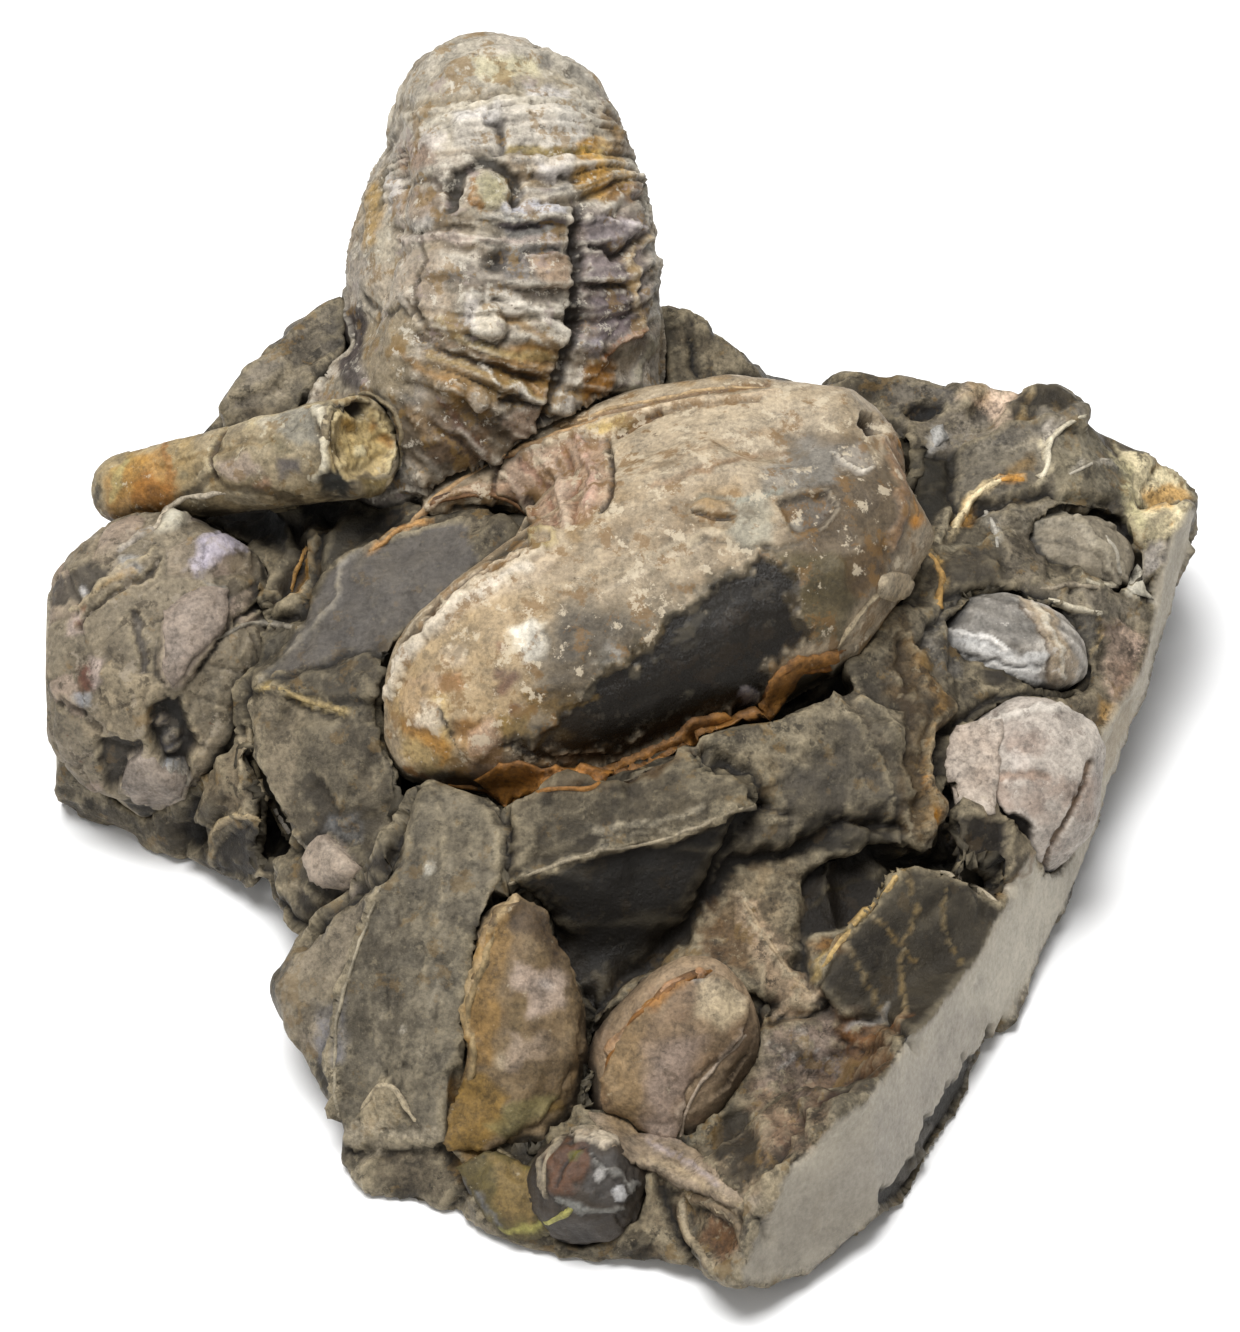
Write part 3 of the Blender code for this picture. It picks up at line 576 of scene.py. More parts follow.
STANDING_MARKS = [
    # broad tones
    area([(400, 60), (450, 40), (560, 45), (610, 90), (615, 120), (560, 150), (440, 150), (395, 130)],
         (184, 176, 160), 0.7, soft=30),
    area([(395, 105), (450, 92), (520, 92), (530, 102), (450, 108), (400, 128)], (138, 124, 100), 0.7, -0.25),
    area([(470, 62), (530, 60), (540, 72), (480, 78)], (205, 196, 160), 0.6),
    area([(500, 75), (570, 70), (560, 95), (500, 95)], (158, 144, 118), 0.5, soft=14),
    dab(543, 62, 12, (120, 115, 108), 0.6),
    line([(570, 70), (590, 80), (605, 95)], 8, (120, 116, 108), 0.6, -0.2),
    area([(450, 112), (500, 104), (560, 108), (565, 150), (520, 150), (455, 150)], (200, 192, 180), 0.7,
         0.25),
    area([(355, 310), (375, 250), (395, 190), (400, 270), (390, 330), (365, 330)], (186, 176, 156), 0.6),
    area([(365, 185), (378, 185), (382, 210), (376, 245), (362, 250)], (172, 142, 88), 0.8),
    area([(398, 145), (432, 140), (440, 165), (420, 172), (402, 170)], (158, 134, 116), 0.75, 0.25),
    area([(395, 192), (450, 188), (458, 214), (430, 222), (395, 216)], (152, 132, 112), 0.7, 0.25),
    line([(405, 185), (430, 182), (458, 188)], 5, (82, 62, 42), 0.8, -0.45),
    area([(575, 140), (605, 132), (620, 150), (632, 178), (610, 200), (580, 196), (572, 170)], (178, 144, 88),
         0.8),
    area([(590, 150), (606, 146), (610, 160), (595, 164)], (226, 204, 150), 0.8, 0.2),
    area([(600, 182), (640, 182), (643, 200), (612, 200)], (128, 92, 50), 0.8),
    line([(600, 110), (618, 130), (622, 150)], 9, (126, 98, 58), 0.8),
    area([(360, 330), (395, 300), (415, 318), (416, 352), (404, 392), (392, 402), (372, 390), (362, 365)],
         (150, 136, 112), 0.9, 0.3, ragged=2),
    area([(345, 310), (362, 300), (368, 330), (360, 365), (366, 392), (345, 386), (333, 350), (332, 325)],
         (78, 70, 68), 0.9, 0.2, ragged=2),
    area([(395, 396), (545, 402), (560, 440), (430, 480), (390, 440)], (88, 72, 52), 0.85, soft=18),
    area([(425, 350), (560, 352), (560, 400), (430, 402)], (134, 107, 66), 0.65, soft=24, ragged=16),
    area([(400, 215), (470, 214), (466, 250), (400, 254)], (120, 108, 92), 0.45, soft=20, ragged=12),
    area([(440, 262), (520, 256), (560, 268), (556, 300), (470, 300)], (116, 103, 90), 0.6, soft=24,
         ragged=14),
    area([(405, 262), (440, 258), (450, 300), (420, 330)], (168, 146, 120), 0.5, soft=20, ragged=12),
    # the darker right side: its lilac tone and painted shade
    area([(575, 205), (645, 215), (650, 300), (640, 345), (575, 350)], (126, 112, 106), 0.8, soft=14),
    # the crater round the broken knob, and other knobs and holes
    line([(452, 208), (455, 185), (466, 168), (488, 160), (505, 168), (516, 186), (516, 202)], 9,
         (62, 56, 46), 0.95, -1.3),
    dab(491, 190, 20, (176, 168, 136), 0.95, 1.2, ragged=3),
    line([(474, 178), (473, 195), (480, 208)], 4, (158, 112, 54), 0.8),
    area([(482, 116), (508, 116), (506, 128), (503, 150), (494, 152), (494, 128), (484, 124)], (58, 50, 42),
         0.9, -1.0),
    dab(487, 322, 18, (208, 198, 180), 0.95, 1.8, ragged=2),
    line([(468, 330), (478, 344), (496, 344), (506, 330)], 5, (96, 80, 58), 0.8, -0.5),
    dab(477, 398, 11, (222, 216, 204), 0.95, 1.1, ragged=2),
    dab(497, 262, 13, (52, 46, 40), 0.95, -1.2),
    dab(572, 250, 11, (34, 28, 24), 0.98, -1.3),
    dab(577, 318, 12, (36, 30, 26), 0.95, -1.2),
    dab(632, 182, 12, None, 0, 0.9),
    dab(648, 232, 10, None, 0, 0.8),
    dab(655, 268, 9, None, 0, 0.8),
    # golden and grey glazes
    area([(486, 346), (520, 344), (560, 352), (562, 388), (530, 390), (494, 372)], (162, 120, 60), 0.65,
         soft=8, ragged=8),
    area([(574, 140), (596, 134), (612, 160), (606, 190), (584, 186)], (196, 148, 70), 0.65, soft=8,
         ragged=8),
    area([(580, 368), (612, 364), (612, 404), (588, 410)], (150, 102, 42), 0.75, soft=6, ragged=6),
    area([(442, 372), (474, 368), (478, 408), (448, 412)], (154, 120, 72), 0.6, soft=8, ragged=8),
    area([(334, 314), (356, 312), (364, 358), (340, 366)], (84, 74, 70), 0.7, soft=8, ragged=5),
    area([(410, 420), (452, 412), (490, 432), (484, 462), (430, 462)], (106, 80, 54), 0.65, soft=10,
         ragged=8),
    area([(498, 216), (530, 212), (560, 222), (556, 250), (510, 252)], (140, 144, 146), 0.5, soft=8,
         ragged=8),
    line([(428, 330), (470, 350), (520, 378), (556, 400)], 4, (126, 90, 46), 0.6, -0.2, ragged=6),
    line([(400, 350), (440, 378), (486, 412)], 4, (150, 112, 62), 0.6, ragged=6),
    # pale flakes and cracks
    area([(455, 108), (500, 106), (505, 122), (458, 124)], (216, 210, 203), 0.75, 0.2, ragged=7),
    area([(528, 86), (566, 86), (568, 102), (530, 102)], (210, 204, 198), 0.75, 0.2, ragged=7),
    area([(558, 110), (584, 112), (582, 142), (560, 140)], (208, 202, 192), 0.7, 0.2, ragged=7),
    area([(418, 130), (442, 130), (444, 148), (420, 150)], (202, 193, 184), 0.7, 0.2, ragged=7),
    area([(384, 172), (398, 176), (402, 214), (388, 214)], (198, 192, 186), 0.75, 0.3, ragged=6),
    area([(408, 218), (432, 218), (434, 234), (410, 236)], (206, 199, 189), 0.7, 0.2, ragged=7),
    area([(536, 158), (572, 158), (572, 176), (540, 178)], (216, 210, 205), 0.75, 0.3, ragged=7),
    area([(462, 292), (478, 296), (474, 326), (460, 322)], (206, 199, 192), 0.75, 0.3, ragged=6),
    area([(438, 250), (482, 250), (480, 264), (440, 266)], (198, 189, 174), 0.65, 0.2, ragged=8),
    area([(368, 268), (402, 268), (400, 302), (372, 302)], (184, 170, 150), 0.7, 0.2, ragged=8),
    area([(498, 250), (532, 254), (530, 284), (504, 282)], (118, 114, 112), 0.6, ragged=9),
    line([(365, 296), (385, 318), (400, 308), (412, 318), (418, 300)], 3.5, (74, 64, 52), 0.8, -0.4,
         ragged=3),
    line([(418, 230), (424, 262), (415, 290), (421, 322)], 3.5, (98, 86, 70), 0.75, -0.4, ragged=3),
    line([(388, 150), (382, 176), (378, 210)], 4, (112, 100, 78), 0.7, -0.3, ragged=3),
    line([(445, 215), (470, 222), (500, 222)], 3.5, (116, 104, 86), 0.6, -0.3, ragged=5),
    # growth bands across the rim; the pale raised lines are partly painted highlight and the dark sunk lines
    # partly painted shade
    line([(400, 118), (450, 104), (500, 100), (560, 104), (610, 112)], 5, (206, 198, 182), 0.5, 0.5),
    line([(505, 149), (560, 150), (592, 150)], 3.5, (150, 130, 72), 0.8, -0.4),
    line([(520, 160), (560, 158), (590, 163)], 7, (206, 196, 182), 0.7, 0.5),
    line([(520, 178), (560, 176), (580, 182)], 5, (110, 96, 80), 0.6, -0.4),
    line([(520, 192), (570, 188)], 6, (140, 134, 128), 0.6, 0.3),
    line([(505, 208), (535, 206), (562, 208)], 8, (198, 196, 200), 0.8, 0.6),
    line([(500, 226), (535, 224), (562, 224)], 7, (98, 88, 92), 0.85, -0.5),
    line([(400, 240), (440, 236), (480, 240), (556, 240)], 6, (184, 168, 156), 0.7, 0.5),
    line([(395, 228), (430, 232), (470, 228)], 4, (112, 98, 78), 0.7, -0.4),
    line([(500, 254), (530, 252), (556, 250)], 6, (92, 84, 80), 0.7, -0.5),
    area([(535, 256), (568, 256), (570, 288), (545, 286), (530, 276)], (170, 146, 122), 0.8, 0.35),
    line([(532, 257), (550, 254), (568, 257)], 3, (128, 86, 46), 0.8, 0.3),
    line([(470, 292), (520, 300), (560, 326), (568, 340)], 6, (214, 206, 192), 0.8, 0.4),
    line([(500, 318), (535, 330), (562, 352)], 6, (140, 110, 66), 0.7, -0.3),
    line([(440, 318), (470, 345), (520, 356), (566, 360)], 6, (178, 158, 112), 0.7, 0.3),
    line([(420, 336), (470, 362), (520, 374), (556, 376)], 5, (84, 60, 36), 0.75, -0.4),
    line([(430, 352), (480, 376), (548, 398)], 6, (164, 140, 94), 0.7, 0.3),
    line([(480, 366), (500, 385), (540, 400)], 4, (212, 204, 190), 0.8, 0.5),
    line([(500, 398), (530, 404), (552, 406)], 5, (40, 32, 24), 0.9, -0.9),
    line([(410, 300), (425, 325), (450, 350)], 5, (104, 88, 66), 0.6, -0.3),
    line([(345, 345), (352, 375)], 4, (60, 52, 50), 0.5, -0.2),
    # chips at the foot
    area([(502, 412), (535, 408), (540, 436), (512, 442)], (166, 146, 128), 0.85, 0.5),
    area([(405, 405), (425, 410), (440, 440), (420, 442)], (150, 126, 96), 0.85, 0.5),
    line([(440, 400), (460, 425), (480, 450)], 5, (98, 58, 34), 0.7, 0.3),
    # the rim's crack and the lilac scallops right of it
    line([(578, 210), (573, 240), (580, 262), (578, 285), (574, 300), (577, 330), (568, 352), (562, 380),
          (550, 405), (543, 428)], 8, (44, 36, 28), 0.95, -1.2),
    area([(582, 222), (636, 222), (630, 246), (590, 248)], (150, 140, 140), 0.8, 0.4),
    line([(585, 220), (610, 218), (640, 226)], 4, (206, 196, 196), 0.7, 0.4),
    line([(590, 249), (615, 252), (636, 240)], 6, (56, 42, 38), 0.9, -0.7),
    area([(584, 258), (622, 256), (626, 282), (592, 286)], (150, 138, 136), 0.8, 0.4),
    line([(585, 289), (610, 286), (628, 290)], 6, (52, 38, 30), 0.9, -0.7),
    area([(590, 298), (625, 296), (632, 325), (600, 345)], (122, 110, 112), 0.8, 0.3),
    area([(578, 345), (600, 340), (600, 356), (580, 356)], (158, 152, 160), 0.8, 0.2),
    line([(646, 236), (630, 258), (634, 290), (642, 330)], 6, (178, 156, 122), 0.8, 0.7),
    line([(604, 356), (622, 340), (642, 332)], 5, (182, 112, 52), 0.9, 0.8),
    area([(584, 362), (614, 356), (612, 408), (580, 412)], (146, 102, 46), 0.9, 0.2),
    line([(620, 400), (640, 370), (655, 340)], 5, (176, 168, 144), 0.7, 0.3),
]
STANDING_MIDDLE = np.array((-20.6, 43.9, 67))  # mm, where the coil turns round
STANDING_YAW = math.radians(27)  # how far its rim turns from the eye to the right
STANDING_STRETCH = 1.38  # how much taller than broad the coil is
STANDING_HALF_WIDTH = 20  # mm
STANDING_FLANK = 18  # mm from the middle, where the filled flank takes the rim's ribs up
RIB_STEP = math.radians(9)  # between the ribs out of sight
RIBS_BEYOND = 40  # ribs carried on past the first and the last that are seen
RIB_DOWNS = (62, 84, 106, 128, 152, 178, 203, 230, 260, 292, 318, 345, 372, 400, 430)  # dots, on the middle

# Each tone takes the cells whose random number is above its own.
FLAKE_TONES = [
    (0.0, (184, 175, 155)), (0.3, (160, 150, 132)), (0.5, (190, 172, 152)),
    (0.68, (140, 130, 116)), (0.8, (168, 150, 120)), (0.92, (150, 142, 144)),
]
RIB_PLATE_TONES = [
    (0.0, (176, 166, 148)), (0.35, (150, 138, 118)), (0.6, (164, 146, 124)), (0.8, (192, 184, 172)),
]
# Where the ribs are worn away, round the broken knob and low on the flank.
CRATER = area([(452, 158), (525, 156), (532, 212), (455, 216)])
FLANK = area([(325, 255), (372, 250), (392, 300), (398, 400), (330, 410)], soft=20)


def standing_ammonite():
    """The tall ammonite at the back, with ribs round its rim."""
    skin = Skin("standing_ammonite", voxel=0.5, evened=45)
    front = TOWARDS_EYE * math.cos(STANDING_YAW) + PICTURE_RIGHT * math.sin(STANDING_YAW)
    side = np.cross(PICTURE_UP, front)
    away = skin.places - STANDING_MIDDLE
    rise, reach = away @ PICTURE_UP / STANDING_STRETCH, away @ front
    filled = smooth(-0.2, 0.3, skin.normals @ TOWARDS_EYE) * smooth(26, 14, rise)
    reach = reach + filled * np.maximum(STANDING_FLANK - reach, 0)
    turn, out = np.arctan2(rise, reach), np.hypot(rise, reach)
    across = away @ side / STANDING_HALF_WIDTH
    middle = (np.abs(across) < 0.25) & (skin.seen > 0.5)
    order = np.argsort(turn[middle])
    down, turns = skin.dots[middle, 1][order], turn[middle][order]
    crests = np.interp(RIB_DOWNS[::-1], down[::-1], turns[::-1])
    beyond = RIBS_BEYOND * RIB_STEP
    ends = np.concatenate(([crests[0] - beyond], crests, [crests[-1] + beyond]))
    counts = np.concatenate(([-RIBS_BEYOND], np.arange(len(crests)), [len(crests) - 1 + RIBS_BEYOND]))
    slant = 0.26 * smooth(0.1, -0.4, turn)
    bent = turn - 0.12 * across**2 + slant * across + 0.06 * rough(skin.places, 12, 1)
    rib = np.interp(bent, ends, counts)
    wave = rib - np.floor(rib)
    crest = smooth(0.0, 0.22, wave) * (1 - smooth(0.3, 1.0, wave))
    bare = np.maximum(weight_of(CRATER, skin.dots), 0.8 * weight_of(FLANK, skin.dots))
    outside = smooth(10, 20, out) * (1 - 0.9 * bare * skin.seen)
    outside *= 0.3 + 0.7 * smooth(-0.75, -0.15, across)
    down_the_rim = skin.dots[:, 1]
    strength = 0.35 + 0.3 * smooth(95, 200, down_the_rim) + 0.35 * smooth(260, 320, down_the_rim)
    skin.height += (crest - 0.4) * 1.45 * outside * strength * (0.7 + 0.75 * ripple(skin.places, 6.5, 8))
    skin.height += 0.55 * rough(skin.places, 5.5, 12) * smooth(8, 18, out)
    skin.height += 0.2 * outside * np.sin(rib * math.tau * 2.5)
    part_of_rib = np.floor(across * 3.5 + 0.6 * ripple(skin.places, 6, 9))
    plates = hashed(np.stack((np.floor(rib), part_of_rib, 0 * rib), 1), 31, 3)
    skin.height += (plates[:, 0] - 0.5) * 0.4 * outside
    flakes, _, rim = broken(skin.places * (1, 1, 1.5), 6.5, 21)
    chips, _, chip_rim = broken(skin.places, 2.4, 22)
    skin.height += (flakes[:, 3] - 0.5) * 0.45 + (chips[:, 3] - 0.5) * 0.18
    skin.height += 0.25 * rough(skin.places, 3, 2)
    for low, tone in FLAKE_TONES:
        skin.blend((flakes[:, 0] > low) * 0.75 * smooth(0.0, 0.5, rim), tone)
    skin.blend(smooth(0.75, 0.85, chips[:, 1]) * 0.5, (206, 198, 184))
    skin.blend(smooth(0.82, 0.9, chips[:, 2]) * 0.5, (118, 104, 82))
    for low, tone in RIB_PLATE_TONES:
        skin.blend((plates[:, 1] > low) * 0.45, tone)
    # painted highlight on the rib crests and painted shade in the grooves between them
    skin.blend(crest * outside * 0.5, (212, 205, 192))
    skin.blend((1 - smooth(0.0, 0.4, crest)) * outside * 0.42, (104, 90, 70))
    skin.clouded(14, 33, 0.2, 0.7, 0.45, (156, 128, 82))
    skin.blend((1 - smooth(0.05, 0.25, chip_rim)) * 0.25, (96, 84, 66))
    skin.gloss[:] = 0.5
    skin.marked(STANDING_MARKS)
    settled_and_shaded(skin)
    skin.worn(0.05, 0.35, 0.5, (214, 206, 190))
    skin.soiled_and_shaded(0.05, 0.4, 0.7, (58, 48, 36))
    material = painted(
        "ribbed_shell", grain=0.2, grain_size=0.8, patches=(
            (4.5, 0.55, 0.05, (146, 116, 68), 0.6), (2.5, 0.58, 0.04, (214, 206, 190), 0.65),
            (2.0, 0.6, 0.04, (84, 68, 46), 0.6), (5.0, 0.59, 0.05, (166, 150, 144), 0.5),
        ), bump=0.3)
    return skin.finished(material, "ribbed_shell")


# ---------------------------------------------------------------- the reclining, smooth ammonite

BLACK_MOULD = [(752, 558), (772, 553), (785, 568), (800, 600), (802, 640), (778, 660), (762, 690), (755, 716),
               (720, 717), (690, 722), (662, 746), (600, 756), (560, 757), (505, 750), (540, 728), (572, 718),
               (582, 690), (600, 670), (640, 650), (662, 618), (700, 598), (730, 576)]
RECLINING_MARKS = [
    # the paler top: its own tone and painted light from above
    area([(600, 430), (700, 396), (840, 400), (830, 450), (760, 480), (650, 500), (612, 500)],
         (190, 175, 152), 0.6, soft=26),
    area([(383, 690), (420, 630), (500, 580), (560, 600), (520, 690), (500, 790), (440, 785), (400, 760)],
         (176, 152, 116), 0.6, soft=30),
    area([(395, 695), (430, 680), (448, 700), (450, 760), (430, 775), (405, 755)], (190, 164, 112), 0.7,
         soft=12),
    area([(420, 700), (445, 705), (440, 735), (425, 730)], (214, 190, 150), 0.7, 0.5),
    area([(404, 700), (415, 690), (420, 730), (408, 740)], (206, 182, 142), 0.7, 0.4),
    area([(460, 720), (495, 715), (500, 745), (470, 760), (455, 745)], (176, 142, 100), 0.7, 0.5),
    area([(475, 725), (495, 722), (500, 752), (480, 758)], (196, 170, 146), 0.7, 0.4),
    area([(520, 690), (570, 688), (582, 705), (560, 715), (525, 712)], (146, 112, 52), 0.85),
    area([(510, 625), (548, 618), (546, 655), (530, 668), (508, 650)], (214, 204, 184), 0.8, 0.3),
    area([(440, 590), (520, 548), (560, 552), (540, 580), (470, 610), (425, 640)], (196, 178, 154), 0.6, 0.3),
    line([(396, 690), (410, 650), (450, 606), (500, 572), (545, 550)], 5, (204, 190, 168), 0.7, 0.7),
    line([(386, 690), (402, 645), (440, 600), (492, 563), (530, 543)], 3.5, (70, 52, 36), 0.7, -0.5),
    dab(500, 672, 9, (96, 56, 50), 0.7),
    dab(511, 706, 6, (92, 40, 40), 0.85),
    dab(498, 648, 6, (128, 84, 62), 0.7),
    dab(452, 655, 14, (206, 188, 164), 0.6, 0.3),
    area([(556, 622), (600, 612), (650, 616), (660, 640), (610, 668), (570, 660)], (116, 108, 96), 0.55,
         soft=14),
    dab(612, 655, 14, (206, 200, 190), 0.85, 0.2),
    dab(565, 635, 9, (66, 60, 54), 0.6),
    area([(520, 735), (560, 725), (600, 750), (530, 756)], (60, 52, 38), 0.6),
    # the left end: rust, cream and pink flakes
    area([(400, 720), (430, 720), (442, 730), (450, 748), (446, 764), (430, 746), (405, 733)], (180, 128, 60),
         0.75),
    area([(413, 716), (424, 698), (440, 703), (448, 722), (438, 729), (420, 725)], (212, 200, 182), 0.75,
         0.35),
    area([(396, 700), (410, 680), (435, 672), (445, 690), (430, 698), (414, 714), (402, 718)],
         (168, 144, 120), 0.6),
    area([(452, 724), (478, 717), (480, 730), (469, 739), (451, 736)], (124, 88, 46), 0.85, -0.3),
    area([(470, 732), (484, 717), (500, 722), (506, 746), (500, 772), (480, 786), (466, 772)],
         (188, 158, 132), 0.7, 0.4),
    line([(410, 768), (436, 784), (456, 778), (482, 786), (504, 804)], 5, (148, 100, 50), 0.8),
    line([(390, 698), (400, 670), (420, 640), (450, 608), (488, 588), (528, 566)], 6, (216, 205, 188), 0.8,
         0.6),
    line([(386, 682), (408, 646), (430, 614), (446, 598), (482, 578), (520, 558)], 3, (102, 74, 46), 0.8,
         -0.5),
    area([(498, 716), (530, 712), (534, 735), (504, 739)], (156, 124, 58), 0.7),
    area([(528, 662), (580, 657), (584, 682), (560, 690), (530, 684)], (178, 160, 134), 0.75, 0.3),
    area([(508, 632), (535, 617), (549, 640), (548, 656), (530, 666), (514, 646)], (226, 219, 204), 0.85,
         0.4),
    area([(438, 676), (458, 671), (463, 690), (444, 693)], (162, 116, 76), 0.7),
    area([(494, 690), (512, 667), (521, 675), (504, 693)], (98, 56, 50), 0.7),
    area([(508, 746), (560, 738), (602, 735), (602, 762), (560, 760), (520, 758)], (50, 43, 36), 0.75),
    line([(442, 710), (449, 730), (454, 746)], 2.5, (60, 48, 36), 0.8, -0.4),
    line([(594, 663), (612, 668), (628, 664)], 4, (204, 196, 178), 0.7, 0.2),
    dab(428, 688, 6, (96, 84, 74), 0.7),
    # the right end
    area([(780, 430), (895, 436), (912, 490), (918, 520), (886, 586), (850, 606), (806, 604), (785, 560),
          (790, 480)], (97, 83, 66), 0.85, soft=24),
    area([(760, 470), (800, 440), (840, 446), (836, 480), (800, 492), (765, 495)], (146, 142, 134), 0.7,
         soft=16),
    area([(775, 548), (850, 560), (856, 600), (840, 645), (805, 640), (798, 600)], (94, 84, 58), 0.8,
         soft=14),
    area([(850, 400), (872, 402), (892, 440), (880, 470), (858, 430)], (176, 160, 136), 0.7),
    area([(862, 410), (876, 416), (880, 432), (868, 434), (860, 424)], (48, 32, 16), 0.95, -2.2, soft=5,
         ragged=2),
    dab(886, 432, 8, (214, 200, 176), 0.8, 0.5),
    area([(830, 448), (858, 444), (878, 462), (862, 474), (836, 468)], (170, 162, 150), 0.7, -0.4),
    line([(832, 450), (848, 462), (874, 466)], 3, (222, 216, 204), 0.7, 0.4),
    area([(778, 502), (800, 492), (826, 494), (836, 508), (820, 526), (796, 532)], (112, 104, 94), 0.85, -1.0,
         ragged=2),
    line([(778, 500), (800, 490), (828, 492), (838, 508), (822, 528)], 3.5, (70, 62, 54), 0.8, 0.3, ragged=2),
    line([(700, 495), (740, 500), (780, 492)], 4, (140, 150, 142), 0.5),
    area([(735, 500), (765, 490), (775, 540), (745, 550), (725, 530)], (166, 166, 152), 0.55, soft=14),
    dab(800, 520, 8, (190, 182, 166), 0.6),
    line([(695, 540), (730, 546), (780, 548), (800, 540)], 4, (100, 92, 78), 0.6, -0.3),
    area([(840, 560), (884, 540), (886, 575), (852, 600)], (98, 78, 54), 0.7, -0.4),
    line([(886, 440), (898, 470), (904, 510), (892, 545)], 7, (150, 118, 88), 0.7, 0.5),
    dab(916, 520, 9, (186, 126, 42), 0.8),
    # the pit like an eye
    line([(688, 506), (700, 496), (722, 497), (738, 512), (728, 524), (704, 526), (690, 518), (688, 506)], 4,
         (128, 112, 88), 0.6, -0.3, ragged=2),
    line([(696, 510), (712, 518), (730, 516)], 4, (62, 52, 42), 0.85, -0.9, ragged=2),
    # streaks
    line([(640, 470), (720, 440), (800, 425)], 5, (156, 132, 104), 0.45, -0.1),
    line([(650, 486), (720, 462), (780, 450)], 5, (150, 118, 88), 0.5, -0.1),
    line([(620, 560), (680, 540), (720, 532)], 7, (186, 172, 148), 0.5, 0.2),
    line([(560, 590), (620, 570), (680, 560)], 7, (184, 168, 142), 0.5, 0.2),
    line([(700, 470), (760, 455)], 4, (140, 112, 84), 0.5),
    # laminated upper edge
    line([(560, 426), (620, 409), (690, 393), (770, 384)], 4, (120, 90, 62), 0.7, -0.4, ragged=2),
    line([(575, 432), (640, 412), (700, 400), (780, 392)], 4, (206, 184, 156), 0.7, 0.5, ragged=2),
    line([(618, 434), (640, 422), (660, 412)], 5, (88, 56, 32), 0.9, -0.9, ragged=2),
    line([(650, 418), (700, 405), (760, 398)], 3, (150, 124, 92), 0.6, -0.3, ragged=2),
    line([(590, 432), (625, 422)], 8, (196, 168, 102), 0.7, 0.3),
    # the older whorl and its folds
    area([(492, 492), (508, 462), (560, 440), (592, 434), (606, 450), (611, 480), (604, 505), (580, 522),
          (545, 526), (525, 512)], (174, 148, 126), 0.85, -0.4),
    line([(500, 470), (520, 492), (535, 518)], 5, (200, 174, 156), 0.7, 0.8),
    line([(520, 462), (545, 488), (552, 522)], 5, (146, 108, 88), 0.7, -0.5),
    line([(540, 455), (562, 485), (564, 520)], 6, (204, 180, 160), 0.7, 0.8),
    line([(560, 448), (578, 480), (572, 518)], 5, (156, 116, 90), 0.7, -0.5),
    line([(575, 440), (594, 470), (586, 512)], 6, (200, 164, 148), 0.75, 0.8),
    line([(548, 440), (575, 434), (600, 440)], 5, (194, 178, 154), 0.7, 0.5),
    line([(606, 440), (612, 465), (608, 500), (602, 510)], 4.5, (58, 46, 38), 0.9, -0.9, ragged=2),
    line([(502, 458), (494, 480), (494, 502)], 3.5, (72, 52, 40), 0.85, -0.7, ragged=2),
    line([(422, 512), (450, 495), (480, 490), (510, 495), (530, 508), (542, 524)], 5, (126, 88, 58), 0.85,
         0.7, ragged=2),
    line([(440, 500), (480, 484), (510, 488)], 4, (176, 146, 120), 0.6, 0.4, ragged=2),
    # the dark notch under the inner whorl: dark rock and painted shade
    area([(455, 508), (500, 502), (525, 516), (535, 536), (500, 556), (470, 560), (462, 530)], (72, 66, 56),
         0.95, -0.8),
    line([(530, 532), (552, 528), (556, 544), (536, 548), (530, 532)], 3.5, (166, 148, 104), 0.9, 0.6,
         ragged=1),
    # the black mould where the shell is gone
    area([(530, 640), (560, 606), (640, 590), (700, 596), (668, 640), (600, 690), (566, 734), (500, 752),
          (520, 712)], (92, 84, 70), 0.5, soft=30, ragged=16),
    area([(560, 640), (620, 620), (600, 668), (560, 700), (530, 700)], (70, 62, 50), 0.6, soft=20, ragged=16),
    line(BLACK_MOULD + BLACK_MOULD[:1], 4, (92, 84, 66), 0.5, 0.25),
    area(BLACK_MOULD, (16, 13, 10), 0.97, -0.6, gloss=0.85, soft=16, ragged=15),
    line([(560, 706), (584, 684), (612, 662), (644, 646), (664, 618), (702, 596), (738, 572)], 9,
         (104, 96, 80), 0.55, ragged=22),
    line([(520, 744), (566, 728), (592, 700)], 8, (120, 98, 60), 0.6, ragged=20),
    dab(690, 640, 9, (72, 66, 54), 0.5, ragged=12),
    line([(772, 560), (786, 580), (796, 612), (800, 640)], 5, (74, 64, 46), 0.7, ragged=10),
    area([(505, 748), (540, 726), (590, 716), (610, 740), (570, 757)], (52, 44, 34), 0.7, 0.2, soft=10,
         ragged=14),
    line([(600, 676), (640, 652), (664, 622)], 6, (104, 90, 66), 0.6, 0.2, ragged=10),
    dab(750, 698, 11, (178, 168, 170), 0.8, 0.3),
    line([(675, 640), (700, 615), (712, 612)], 5, (84, 78, 66), 0.6, gloss=0.7),
    line([(640, 748), (675, 730), (700, 738)], 3, (92, 70, 44), 0.8, 0.4),
    dab(688, 690, 5, (96, 90, 76), 0.6),
    line([(505, 746), (560, 760), (620, 758), (670, 744)], 5, (30, 25, 20), 0.85, -0.5),
]


